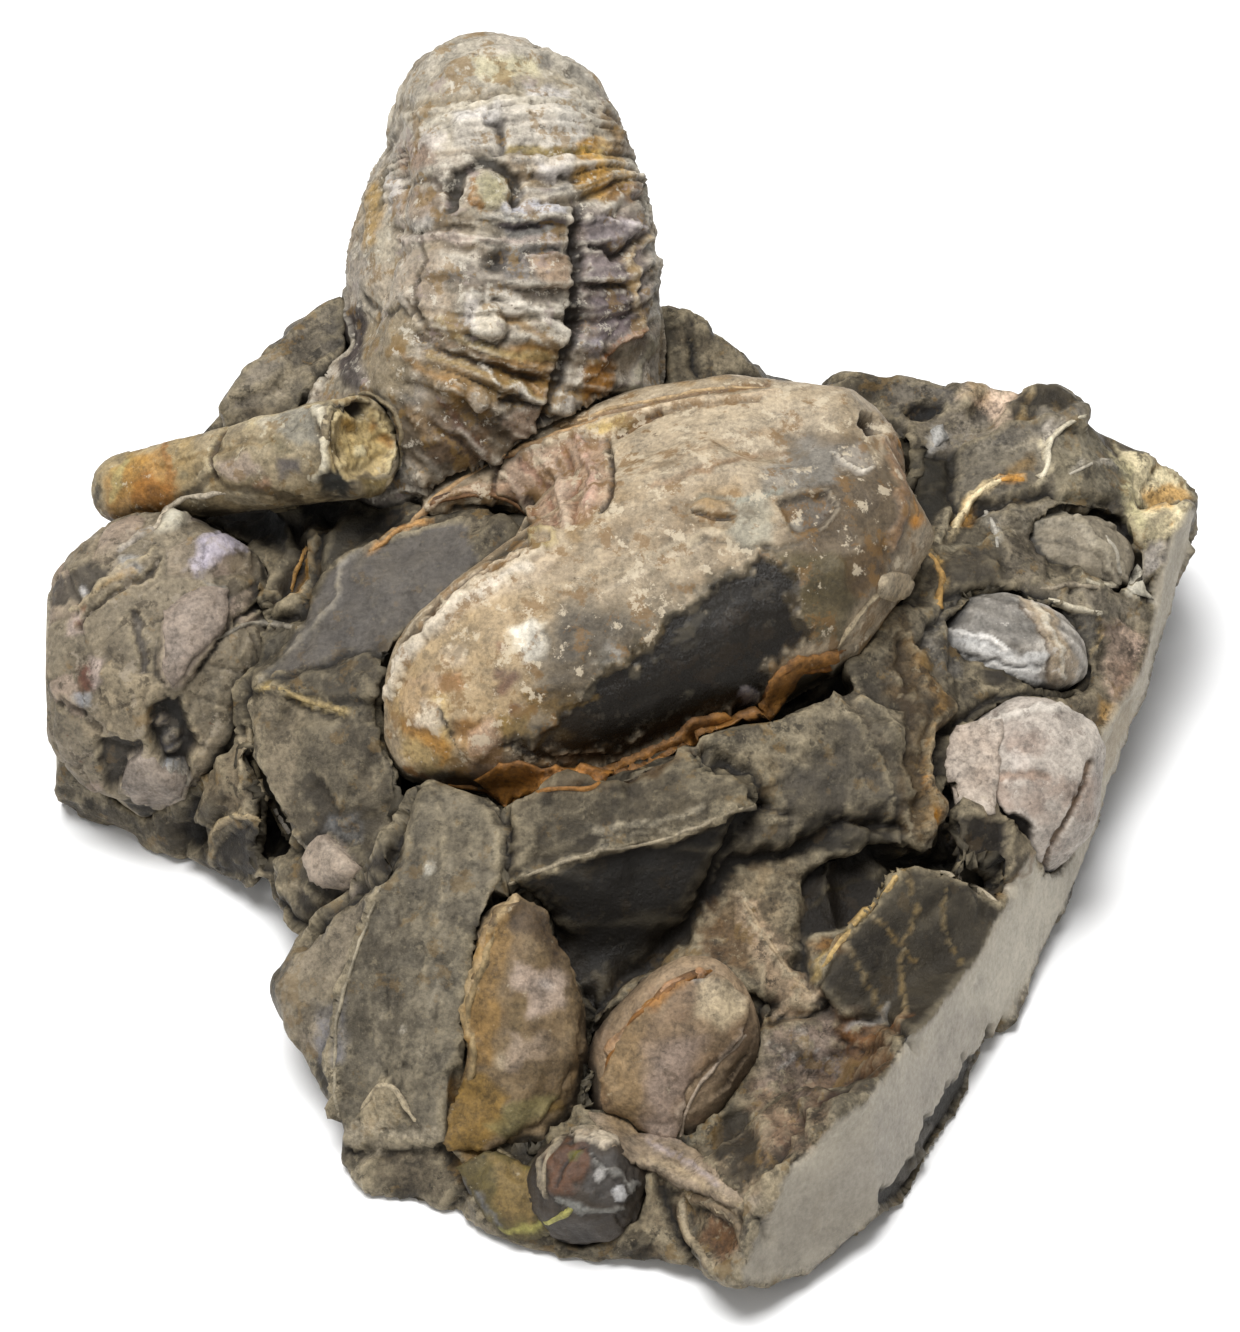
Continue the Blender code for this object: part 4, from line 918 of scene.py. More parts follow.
def reclining_ammonite():
    """The large smooth ammonite across the middle, polished and streaked."""
    skin = Skin("reclining_ammonite", voxel=0.5, evened=26)
    spots, _, _ = broken(skin.places, 2.2, 41)
    skin.height += 0.22 * rough(skin.places, 5, 42) + (spots[:, 3] - 0.5) * 0.1
    streaks = rough(skin.places @ along_axes((0.86, 0.47, 0.2), (0.12, 1.0, 1.0)), 2.4, 43, 3)
    skin.height += 0.12 * streaks
    skin.paint[:] = linear((170, 154, 130))
    skin.clouded(13, 44, 0.0, 0.6, 0.7, (184, 168, 144))
    skin.clouded(9, 45, 0.1, 0.6, 0.6, (150, 132, 108))
    skin.blend(smooth(0.05, 0.5, streaks) * 0.5, (134, 114, 88))
    skin.blend(smooth(0.15, 0.6, -streaks) * 0.45, (204, 190, 168))
    skin.clouded(7, 46, 0.35, 0.6, 0.55, (150, 118, 70))
    skin.gloss[:] = 0.45
    skin.marked(RECLINING_MARKS)
    skin.patchy = 1 - 0.85 * smooth(0.6, 0.9, skin.gloss)
    settled_and_shaded(skin)
    skin.worn(0.05, 0.3, 0.4, (206, 190, 164))
    skin.soiled_and_shaded(0.05, 0.3, 0.5, (72, 58, 40))
    material = painted(
        "smooth_shell", grain=0.18, grain_size=0.7, patches=(
            (5.0, 0.53, 0.06, (136, 104, 64), 0.65), (3.0, 0.57, 0.04, (212, 198, 174), 0.65),
            (7.0, 0.57, 0.06, (122, 108, 88), 0.5), (1.6, 0.63, 0.04, (84, 64, 42), 0.6),
            (0.9, 0.64, 0.04, (222, 214, 198), 0.5),
        ), bump=0.22, rough_span=(0.72, 0.16), sheen=0.28)
    return skin.finished(material, "smooth_shell")


def along_axes(along, squeeze):
    """A matrix that squeezes places along one direction and across it, for streaks and beds."""
    first = np.array(along, float)
    first /= np.linalg.norm(first)
    second = np.cross(first, (0, 0, 1))
    second /= np.linalg.norm(second)
    third = np.cross(first, second)
    axes = np.stack((first, second, third), 1)
    return axes * np.array(squeeze)


# ---------------------------------------------------------------- the straight ammonite

STRAIGHT_MARKS = [
    area([(98, 520), (105, 470), (150, 440), (185, 430), (195, 480), (150, 515)], (170, 148, 108), 0.7,
         soft=20),
    area([(110, 470), (130, 452), (150, 460), (140, 490), (115, 500)], (174, 140, 74), 0.6),
    area([(190, 425), (250, 403), (320, 390), (325, 440), (300, 490), (210, 472)], (166, 152, 126), 0.7,
         soft=20),
    area([(300, 395), (345, 385), (400, 420), (405, 460), (395, 490), (360, 500), (330, 495)], (112, 102, 86),
         0.75, soft=10),
    area([(334, 408), (368, 402), (392, 414), (396, 445), (384, 470), (352, 480), (332, 470), (326, 440)],
         (198, 178, 136), 0.95, -0.4, soft=6),
    area([(342, 440), (372, 430), (384, 450), (366, 468), (345, 465)], (196, 180, 140), 0.85, 0.6),
    area([(330, 398), (352, 394), (372, 402), (360, 416), (336, 418)], (40, 34, 26), 0.95, -1.4, soft=6),
    area([(322, 470), (345, 478), (350, 496), (330, 500), (318, 486)], (52, 48, 42), 0.9, -0.4),
    line([(330, 430), (334, 450), (340, 472)], 4, (84, 64, 34), 0.7, -0.4),
    line([(378, 412), (392, 440), (388, 468)], 4, (200, 182, 138), 0.7, 0.6),
    dab(352, 425, 8, (204, 170, 96), 0.8, 0.5),
    dab(376, 440, 7, (150, 112, 52), 0.8, -0.3),
    line([(240, 440), (300, 425), (320, 430)], 5, (120, 104, 78), 0.6, -0.3),
    line([(150, 470), (210, 452), (270, 440)], 4, (130, 106, 66), 0.5, -0.3),
    dab(262, 418, 10, (206, 198, 180), 0.7, 0.2),
    dab(302, 402, 9, (204, 198, 184), 0.7, 0.2),
    dab(228, 455, 10, (128, 112, 84), 0.7, -0.3),
    line([(105, 525), (160, 512), (210, 480), (300, 500)], 7, (72, 58, 36), 0.7, -0.2),
    # rust at the thin end, and the flakes and cracks along the shaft
    area([(104, 520), (108, 482), (138, 456), (166, 448), (178, 500), (160, 526)], (184, 138, 78), 0.65,
         soft=14),
    area([(132, 480), (152, 474), (176, 486), (172, 506), (146, 514), (132, 500)], (158, 104, 46), 0.75,
         soft=8),
    line([(166, 446), (172, 466), (168, 490)], 5, (170, 118, 64), 0.65),
    line([(112, 504), (117, 474), (124, 460)], 5, (178, 168, 122), 0.65),
    line([(96, 490), (93, 520), (98, 542)], 5, (58, 48, 32), 0.8),
    dab(182, 474, 8, (118, 112, 92), 0.65),
    line([(216, 480), (211, 456), (221, 436), (236, 414)], 3, (80, 60, 36), 0.85, -0.7, ragged=2),
    dab(219, 446, 5, (50, 40, 24), 0.85, -0.4),
    area([(215, 460), (250, 454), (263, 470), (240, 476), (220, 473)], (182, 164, 150), 0.65, 0.2),
    area([(240, 415), (290, 395), (330, 391), (320, 405), (282, 412), (250, 426)], (200, 184, 148), 0.65),
    area([(268, 420), (290, 405), (313, 410), (319, 440), (300, 446), (280, 433)], (150, 147, 136), 0.7),
    area([(258, 438), (272, 436), (296, 452), (280, 456)], (128, 120, 96), 0.65, -0.3),
    area([(278, 461), (297, 461), (302, 476), (284, 478)], (92, 88, 94), 0.75),
    dab(263, 482, 10, (176, 138, 112), 0.65),
    line([(317, 408), (326, 430), (322, 450), (326, 464), (317, 480)], 5, (216, 208, 188), 0.8, 0.5),
    # the broken end
    area([(344, 420), (372, 418), (390, 436), (380, 462), (350, 466), (338, 444)], (196, 172, 122), 0.7),
    dab(376, 424, 8, (152, 106, 48), 0.8),
    dab(386, 441, 9, (168, 118, 56), 0.75),
    dab(348, 428, 8, (176, 138, 76), 0.7),
    dab(358, 452, 9, (214, 204, 172), 0.75, 0.3),
    area([(358, 482), (396, 474), (392, 500), (366, 502)], (112, 95, 54), 0.8),
    area([(324, 472), (344, 470), (353, 485), (345, 499), (321, 495)], (64, 64, 60), 0.9, -0.3),
    area([(329, 403), (342, 397), (339, 416), (327, 417)], (28, 22, 13), 0.95, -1.0, soft=4),
    area([(351, 404), (367, 406), (365, 415), (356, 416)], (38, 32, 22), 0.9, -0.7, soft=4),
]


def straight_ammonite():
    """The tapering shaft at the left, with its broken end."""
    skin = Skin("straight_ammonite", voxel=0.4, evened=12)
    chips, _, _ = broken(skin.places, 3.2, 51)
    skin.height += 0.3 * rough(skin.places, 4, 52) + (chips[:, 3] - 0.5) * 0.25
    skin.paint[:] = linear((160, 144, 114))
    skin.clouded(8, 53, -0.1, 0.5, 0.7, (140, 120, 84))
    skin.blend((chips[:, 0] > 0.7) * 0.5, (188, 176, 150))
    skin.blend((chips[:, 1] > 0.8) * 0.5, (112, 98, 74))
    skin.gloss[:] = 0.35
    skin.marked(STRAIGHT_MARKS)
    settled_and_shaded(skin)
    skin.worn(0.03, 0.25, 0.45, (206, 192, 158))
    skin.soiled_and_shaded(0.03, 0.25, 0.55, (70, 56, 34))
    material = painted(
        "straight_shell", grain=0.2, grain_size=0.8, patches=(
            (3.0, 0.57, 0.05, (134, 104, 56), 0.5), (2.0, 0.6, 0.04, (208, 198, 174), 0.6),
            (2.4, 0.61, 0.04, (90, 76, 54), 0.5),
        ), bump=0.3)
    return skin.finished(material, "straight_shell")


# ---------------------------------------------------------------- the worn ammonite at the left

WORN_MARKS = [
    area([(50, 600), (95, 548), (160, 525), (230, 540), (200, 600), (120, 640), (60, 640)], (146, 134, 114),
         0.7, soft=24),
    area([(220, 500), (262, 500), (290, 540), (280, 590), (246, 604), (232, 560)], (108, 96, 76), 0.8,
         soft=14, ragged=10),
    area([(262, 500), (300, 510), (300, 580), (262, 610), (240, 604), (276, 560)], (56, 47, 36), 0.85,
         soft=12, ragged=8),
    area([(50, 575), (84, 560), (110, 566), (76, 598), (52, 604)], (70, 64, 56), 0.85, -0.5, soft=6,
         ragged=7),
    area([(118, 556), (136, 552), (142, 566), (122, 578)], (164, 162, 158), 0.8, 0.3),
    dab(78, 591, 6, (206, 202, 198), 0.8),
    line([(118, 548), (134, 536), (150, 532)], 4, (176, 168, 158), 0.75, 0.3),
    line([(88, 592), (110, 582), (134, 570)], 3.5, (178, 152, 112), 0.7, 0.4),
    area([(157, 532), (172, 507), (190, 496), (226, 493), (222, 503), (196, 512), (172, 530)],
         (214, 208, 190), 0.92, 0.9, ragged=2, calm=1.0),
    area([(190, 570), (198, 548), (214, 530), (236, 528), (258, 548), (236, 552), (214, 562), (202, 578)],
         (192, 184, 194), 0.9, 0.4, ragged=7, calm=0.6),
    area([(164, 622), (184, 597), (204, 592), (226, 588), (231, 616), (213, 646), (196, 668), (182, 690),
          (164, 690), (160, 656)], (170, 155, 140), 0.92, 1.1, soft=6, ragged=4, calm=0.9),
    area([(205, 580), (226, 588), (232, 602), (214, 604)], (150, 150, 146), 0.75, ragged=4),
    line([(230, 606), (216, 646), (200, 668)], 4, (58, 50, 40), 0.8, -0.6),
    area([(104, 704), (114, 664), (150, 680), (164, 710), (140, 742), (114, 732)], (156, 142, 118), 0.75, 0.5,
         soft=8, ragged=9),
    area([(150, 703), (181, 702), (196, 740), (190, 772), (165, 768), (150, 745)], (46, 44, 42), 0.95, -2.6,
         soft=6),
    dab(170, 748, 13, (112, 108, 108), 0.7, 1.0, gloss=0.7),
    dab(160, 722, 8, (88, 82, 84), 0.7, 0.8, gloss=0.7),
    area([(98, 742), (140, 738), (142, 760), (112, 792), (100, 770)], (60, 55, 48), 0.88, -1.4, soft=6),
    area([(121, 790), (127, 760), (145, 744), (160, 765), (190, 774), (186, 798), (152, 805)],
         (162, 150, 138), 0.92, 1.1, soft=5, ragged=4, calm=0.7),
    area([(152, 762), (172, 766), (190, 776), (166, 782)], (142, 146, 150), 0.8, 0.3, ragged=4, gloss=0.7),
    area([(76, 664), (92, 662), (94, 690), (80, 692)], (106, 62, 46), 0.85, ragged=3),
    area([(88, 656), (104, 660), (104, 680), (92, 690)], (196, 178, 168), 0.75, ragged=3),
    dab(84, 700, 9, (158, 160, 164), 0.75, 0.3),
    area([(66, 616), (80, 612), (82, 632), (66, 636)], (186, 168, 158), 0.75, ragged=3),
    dab(74, 624, 6, (120, 76, 56), 0.85),
    dab(80, 604, 7, (134, 86, 56), 0.8),
    line([(68, 612), (90, 590), (120, 570), (152, 548)], 5, (180, 165, 138), 0.6, 0.6),
    line([(76, 626), (98, 604), (128, 584), (160, 562)], 5, (92, 80, 62), 0.7, -0.9),
    line([(134, 612), (142, 640), (146, 672)], 6, (104, 98, 92), 0.7, -0.8),
    line([(60, 700), (84, 716), (102, 730)], 5, (98, 87, 70), 0.6, -0.7),
    area([(60, 740), (80, 735), (84, 790), (62, 790)], (132, 121, 104), 0.6),
    # the dark underside at the foot: painted shade
    area([(86, 806), (160, 800), (192, 806), (192, 856), (130, 836)], (44, 39, 33), 0.92, soft=8),
    dab(96, 785, 9, (166, 146, 134), 0.6, 0.3),
    line([(236, 620), (262, 600), (290, 560)], 5, (56, 48, 37), 0.8, -0.9),
]


def worn_ammonite():
    """The lumpy ammonite at the far left, sawn on its outer side."""
    skin = Skin("worn_ammonite", voxel=0.5, evened=10)
    lumps, _, rim = broken(skin.places, 8, 61)
    sawn = on_cut(skin)
    relief = 0.9 * rough(skin.places, 10, 62) + 0.25 * rough(skin.places, 3, 63)
    relief -= 0.4 * (1 - smooth(0, 1.0, rim))
    skin.height += relief * (1 - sawn)
    skin.paint[:] = linear((136, 125, 106))
    skin.clouded(7, 64, -0.1, 0.5, 0.6, (112, 101, 84))
    skin.clouded(5, 65, 0.2, 0.6, 0.6, (164, 148, 124))
    skin.blend((lumps[:, 0] > 0.85) * 0.5, (172, 152, 138))
    skin.marked(WORN_MARKS)
    skin.patchy = 1 - 0.6 * skin.calm
    skin.blend(sawn * 0.8, CUT_TONE)
    settled_and_shaded(skin)
    skin.worn(0.03, 0.3, 0.45, (180, 166, 138))
    skin.soiled_and_shaded(0.05, 0.35, 0.7, (50, 42, 32))
    material = painted(
        "worn_shell", grain=0.22, grain_size=0.9, patches=(
            (4.0, 0.56, 0.05, (172, 160, 142), 0.55), (3.0, 0.56, 0.05, (76, 65, 49), 0.65),
            (5.0, 0.58, 0.05, (148, 122, 84), 0.5), (1.8, 0.65, 0.04, (120, 78, 52), 0.6),
        ), bump=0.35)
    return skin.finished(material, "worn_shell")


# ---------------------------------------------------------------- the smaller shells


PEARLY_VALVE_MARKS = [
    line([(960, 742), (1000, 718), (1060, 706), (1095, 712)], 6, (214, 206, 194), 0.7, 0.6),
    area([(1080, 716), (1112, 716), (1108, 745), (1078, 790), (1068, 770)], (204, 194, 182), 0.7, 0.3),
    line([(1092, 762), (1072, 812), (1040, 872)], 6, (126, 96, 66), 0.8, -0.8),
    area([(966, 822), (1000, 812), (1030, 826), (1026, 862), (985, 868), (964, 846)], (44, 38, 32), 0.95,
         -2.2),
    line([(960, 790), (1000, 775), (1050, 780)], 6, (164, 136, 116), 0.6, -0.3),
    dab(1020, 760, 16, (210, 200, 190), 0.6, 0.4),
]
SMALL_AMMONITE_MARKS = [
    area([(925, 640), (935, 600), (980, 590), (1022, 598), (1040, 640), (1000, 645), (950, 632)],
         (118, 113, 105), 0.75, soft=8, ragged=7),
    area([(948, 634), (985, 638), (1020, 650), (1045, 655), (1040, 684), (1000, 686), (965, 672), (950, 655)],
         (206, 204, 200), 0.8, 0.3, ragged=9),
    line([(952, 632), (985, 636), (1005, 648)], 4, (232, 228, 222), 0.8, 0.4),
    line([(962, 666), (990, 680), (1030, 684)], 4, (176, 174, 172), 0.7, -0.3),
    line([(955, 652), (990, 660), (1040, 668)], 3, (150, 148, 144), 0.6, -0.4, ragged=7),
    area([(1020, 597), (1050, 606), (1075, 650), (1078, 680), (1050, 690), (1046, 650), (1030, 620)],
         (178, 158, 130), 0.75, ragged=6),
    line([(1035, 606), (1056, 640), (1062, 676)], 3.5, (214, 204, 184), 0.75, 0.3),
    line([(1020, 606), (1044, 640), (1050, 680)], 3, (120, 102, 84), 0.6, -0.3),
]
ARCHED_WHORL_MARKS = [
    line([(1004, 540), (1032, 523), (1060, 518), (1090, 531), (1118, 560), (1130, 586)], 5, (160, 150, 130),
         0.8, 0.6),
    line([(1010, 556), (1040, 540), (1070, 538), (1098, 556), (1110, 580)], 3, (88, 80, 66), 0.5, -0.2),
    line([(1080, 530), (1104, 552), (1116, 580)], 3, (190, 180, 160), 0.6, 0.2),
]
FRONT_SHELL_MARKS = [
    area([(470, 1060), (500, 1050), (510, 1100), (480, 1140), (450, 1140)], (140, 112, 58), 0.7, soft=16,
         ragged=12),
    line([(512, 908), (492, 930), (480, 975), (464, 1015), (482, 1060), (458, 1110), (442, 1150)], 7,
         (176, 154, 118), 0.8, 1.0),
    area([(478, 940), (500, 918), (506, 960), (484, 988)], (158, 122, 68), 0.7, ragged=8),
    area([(478, 1096), (540, 1106), (556, 1086), (560, 1110), (504, 1134)], (134, 106, 48), 0.7, ragged=10),
]
TAN_SHELL_MARKS = [
    line([(700, 972), (668, 990), (632, 1022), (612, 1052)], 6, (150, 98, 48), 0.8, 0.7),
    area([(608, 1060), (640, 1005), (690, 985), (740, 984), (748, 1020), (690, 1060), (672, 1110),
          (660, 1150), (610, 1130)], (190, 166, 138), 0.65, soft=12),
    line([(700, 972), (668, 990), (640, 1014)], 4, (168, 108, 54), 0.75, 0.3, ragged=6),
]
ROUND_VALVE_MARKS = [
    area([(552, 1150), (580, 1140), (592, 1172), (576, 1202), (552, 1192)], (110, 76, 54), 0.8, 0.2,
         ragged=10),
    area([(590, 1148), (630, 1160), (645, 1190), (615, 1206), (586, 1200)], (80, 75, 70), 0.8, ragged=8),
    line([(574, 1131), (604, 1127), (632, 1141), (646, 1166)], 4, (180, 162, 138), 0.75, 0.4, ragged=5),
    line([(560, 1186), (566, 1160), (580, 1148), (596, 1156)], 3, (44, 34, 26), 0.75, -0.3),
    line([(545, 1196), (541, 1168), (552, 1146), (566, 1132), (590, 1126), (612, 1132)], 4, (168, 154, 130),
         0.8, 0.6),
    line([(576, 1136), (598, 1134), (616, 1142)], 6, (206, 192, 170), 0.8, 0.5, ragged=8),
    line([(558, 1200), (588, 1212), (618, 1208)], 3.5, (142, 142, 136), 0.8, 0.4),
    line([(590, 1154), (602, 1170), (622, 1186), (642, 1190)], 3.5, (150, 148, 142), 0.75, 0.3, ragged=8),
    dab(600, 1176, 6, (196, 192, 186), 0.85, 0.3),
    dab(616, 1195, 6, (214, 212, 210), 0.85, 0.3),
    dab(572, 1158, 7, (132, 128, 66), 0.7, 0.3),
]


def lightened(tone, by, most=255):
    """A tone made paler."""
    return tuple(min(most, value + by) for value in tone)


def darkened(tone, share):
    """A tone at that share of its strength."""
    return tuple(value * share for value in tone)


def small_shell(node, slot, tone, second, marks, ribs=None, relief=0.35, gloss=0.45):
    """A shell of two tones; ribs are (direction, step in mm, height in mm)."""
    skin = Skin(node, voxel=0.42, evened=14)
    seed = sum(map(ord, node))
    flakes, _, _ = broken(skin.places, 3.6, seed)
    skin.height += relief * (rough(skin.places, 5, seed) + 0.6 * (flakes[:, 3] - 0.5))
    skin.paint[:] = linear(tone)
    skin.clouded(5, seed + 1, -0.1, 0.5, 0.75, second)
    if ribs:
        direction, step, height = ribs
        phase = skin.places @ np.array(direction, float) / step + 0.5 * rough(skin.places, 6, seed + 2)
        wave = 0.5 + 0.5 * np.cos(phase * math.tau)
        skin.height += height * wave
        # painted highlight on the rib crests and painted shade between them
        skin.blend(wave * 0.5, lightened(tone, 34))
        skin.blend((1 - wave) * 0.45, darkened(second, 0.6))
    skin.gloss[:] = gloss
    skin.marked(marks)
    settled_and_shaded(skin)
    skin.worn(0.03, 0.25, 0.4, lightened(tone, 30))
    skin.soiled_and_shaded(0.03, 0.3, 0.6, darkened(second, 0.4))
    material = painted(slot, grain=0.18, grain_size=0.7, flake_size=2.2, patches=(
        (2.6, 0.58, 0.05, darkened(second, 0.72), 0.5), (1.8, 0.6, 0.05, lightened(tone, 34, 235), 0.5),
    ), bump=0.25)
    return skin.finished(material, slot)


def smaller_shells():
    """The six shells by the saw cut and in the front bed."""
    shells = [
        small_shell("pearly_valve", "pearly_shell", (184, 174, 163), (168, 149, 135), PEARLY_VALVE_MARKS),
        small_shell("small_ammonite", "grey_shell", (190, 183, 173), (158, 150, 138), SMALL_AMMONITE_MARKS,
                    ribs=((0.2, 1.0, 0.3), 2.8, 0.16), gloss=0.7),
        small_shell("arched_whorl", "dark_shell", (148, 138, 120), (130, 119, 101), ARCHED_WHORL_MARKS),
        small_shell("front_shell", "brown_shell", (146, 126, 98), (116, 94, 66), FRONT_SHELL_MARKS,
                    relief=0.8),
        small_shell("tan_shell", "tan_shell", (158, 137, 112), (140, 116, 94), TAN_SHELL_MARKS),
        small_shell("round_valve", "dark_valve", (74, 64, 53), (54, 46, 38), ROUND_VALVE_MARKS,
                    relief=0.8, gloss=0.6),
    ]
    return list(itertools.chain.from_iterable(shells))


# ---------------------------------------------------------------- the matrix

# The tone of each face of the block between its joints. Two of them also hold painted shade, as marked.
MATRIX_TONES = [
    area([(392, 830), (400, 795), (430, 775), (498, 800), (508, 880), (482, 960), (466, 1030), (470, 1080),
          (445, 1150), (345, 1150), (340, 1040), (350, 950), (380, 880)], (122, 114, 99), 0.88, soft=10,
         calm=0.5),
    area([(285, 945), (320, 915), (345, 895), (382, 872), (352, 950), (330, 1000), (325, 1060), (300, 1050),
          (268, 990)], (162, 149, 130), 0.85, soft=8, calm=0.5),
    area([(314, 1000), (346, 996), (346, 1062), (320, 1062)], (129, 127, 129), 0.8, calm=0.6),
    area([(500, 806), (590, 783), (640, 768), (690, 752), (750, 770), (765, 800), (700, 818), (600, 852),
          (508, 886)], (71, 62, 47), 0.9, soft=8, calm=0.45),
    # the wedge's lower face: its dark stone and painted shade
    area([(508, 888), (600, 853), (670, 840), (762, 803), (738, 832), (702, 900), (680, 932), (620, 970),
          (598, 1000), (578, 990), (565, 950), (545, 918)], (35, 32, 28), 0.97, soft=6, gloss=0.5, calm=1.0),
    area([(338, 562), (370, 545), (440, 524), (460, 520), (482, 560), (450, 592), (410, 626), (400, 650),
          (330, 657), (262, 682), (300, 620)], (107, 102, 97), 0.92, soft=6, gloss=0.45, calm=0.9),
    area([(255, 690), (300, 702), (350, 714), (395, 750), (412, 768), (402, 792), (350, 830), (300, 850),
          (270, 812), (252, 740)], (95, 87, 74), 0.85, soft=8, calm=0.4),
    # painted shadow under the straight ammonite
    area([(205, 488), (300, 500), (370, 500), (440, 522), (370, 540), (330, 556), (290, 560), (250, 530)],
         (34, 30, 25), 0.9, soft=12, calm=0.6),
    area([(185, 700), (240, 720), (262, 800), (240, 830), (190, 800)], (108, 98, 80), 0.75, soft=14),
    area([(300, 830), (350, 800), (400, 792), (392, 860), (330, 900), (300, 935)], (48, 42, 35), 0.92,
         soft=10, calm=0.5),
    area([(750, 800), (790, 768), (862, 698), (884, 710), (902, 760), (917, 830), (850, 815), (800, 850),
          (740, 862), (715, 900)], (86, 80, 71), 0.85, soft=10, calm=0.5),
    area([(810, 990), (840, 945), (905, 870), (970, 885), (1005, 905), (985, 945), (960, 990), (915, 1045),
          (880, 1012), (825, 1012)], (46, 40, 31), 0.95, soft=8, calm=0.85),
    area([(800, 880), (832, 860), (880, 850), (910, 860), (850, 928), (800, 945)], (30, 22, 11), 0.98, -1.2,
         soft=8, calm=1.0),
    area([(905, 640), (925, 600), (960, 560), (1140, 600), (1150, 640), (1130, 700), (1080, 700), (1000, 600),
          (940, 640)], (160, 150, 133), 0.75, soft=14, calm=0.2),
    area([(900, 520), (950, 535), (1000, 545), (1010, 590), (950, 600), (905, 640), (890, 590)],
         (104, 94, 77), 0.8, soft=12),
    area([(960, 430), (1010, 402), (1080, 400), (1100, 430), (1120, 500), (1060, 515), (1000, 530),
          (955, 500)], (178, 168, 150), 0.75, soft=14, calm=0.3),
    area([(900, 380), (1000, 392), (1028, 420), (960, 450), (900, 430)], (148, 139, 126), 0.75, soft=10),
    area([(960, 388), (1035, 390), (1000, 425), (985, 412)], (212, 184, 154), 0.9, 0.3),
    area([(905, 448), (950, 450), (952, 508), (912, 515)], (62, 56, 46), 0.9, soft=8, calm=0.7),
    area([(215, 412), (250, 368), (300, 318), (350, 292), (345, 390), (300, 400)], (166, 156, 141), 0.85,
         soft=12),
    area([(650, 310), (705, 315), (712, 350), (770, 388), (700, 420), (640, 400)], (132, 119, 98), 0.85,
         soft=10),
    area([(550, 1150), (640, 1150), (740, 1190), (765, 1230), (742, 1290), (640, 1258), (550, 1256),
          (520, 1230)], (92, 84, 71), 0.8, soft=14),
    area([(480, 1120), (560, 1120), (580, 1210), (520, 1240), (460, 1210)], (92, 78, 48), 0.8, soft=14),
    area([(740, 1000), (860, 1010), (880, 1060), (820, 1150), (740, 1170), (700, 1100)], (128, 108, 91), 0.8,
         soft=14),
    area([(596, 1000), (660, 960), (770, 960), (790, 1060), (720, 1160), (640, 1150), (590, 1090)],
         (146, 124, 98), 0.6, soft=30, ragged=14),
    area([(610, 985), (690, 925), (745, 865), (800, 858), (800, 930), (812, 985), (760, 1000), (745, 1038),
          (700, 1060), (600, 1010)], (140, 118, 88), 0.85, soft=12),
    area([(590, 1130), (700, 1150), (800, 1150), (850, 1090), (790, 1190), (760, 1270), (700, 1262),
          (560, 1245)], (108, 90, 68), 0.6, soft=16),
    area([(930, 850), (1040, 700), (1140, 620), (1150, 640), (1100, 740), (1040, 860), (1000, 905)],
         (130, 118, 100), 0.6, soft=16),
]
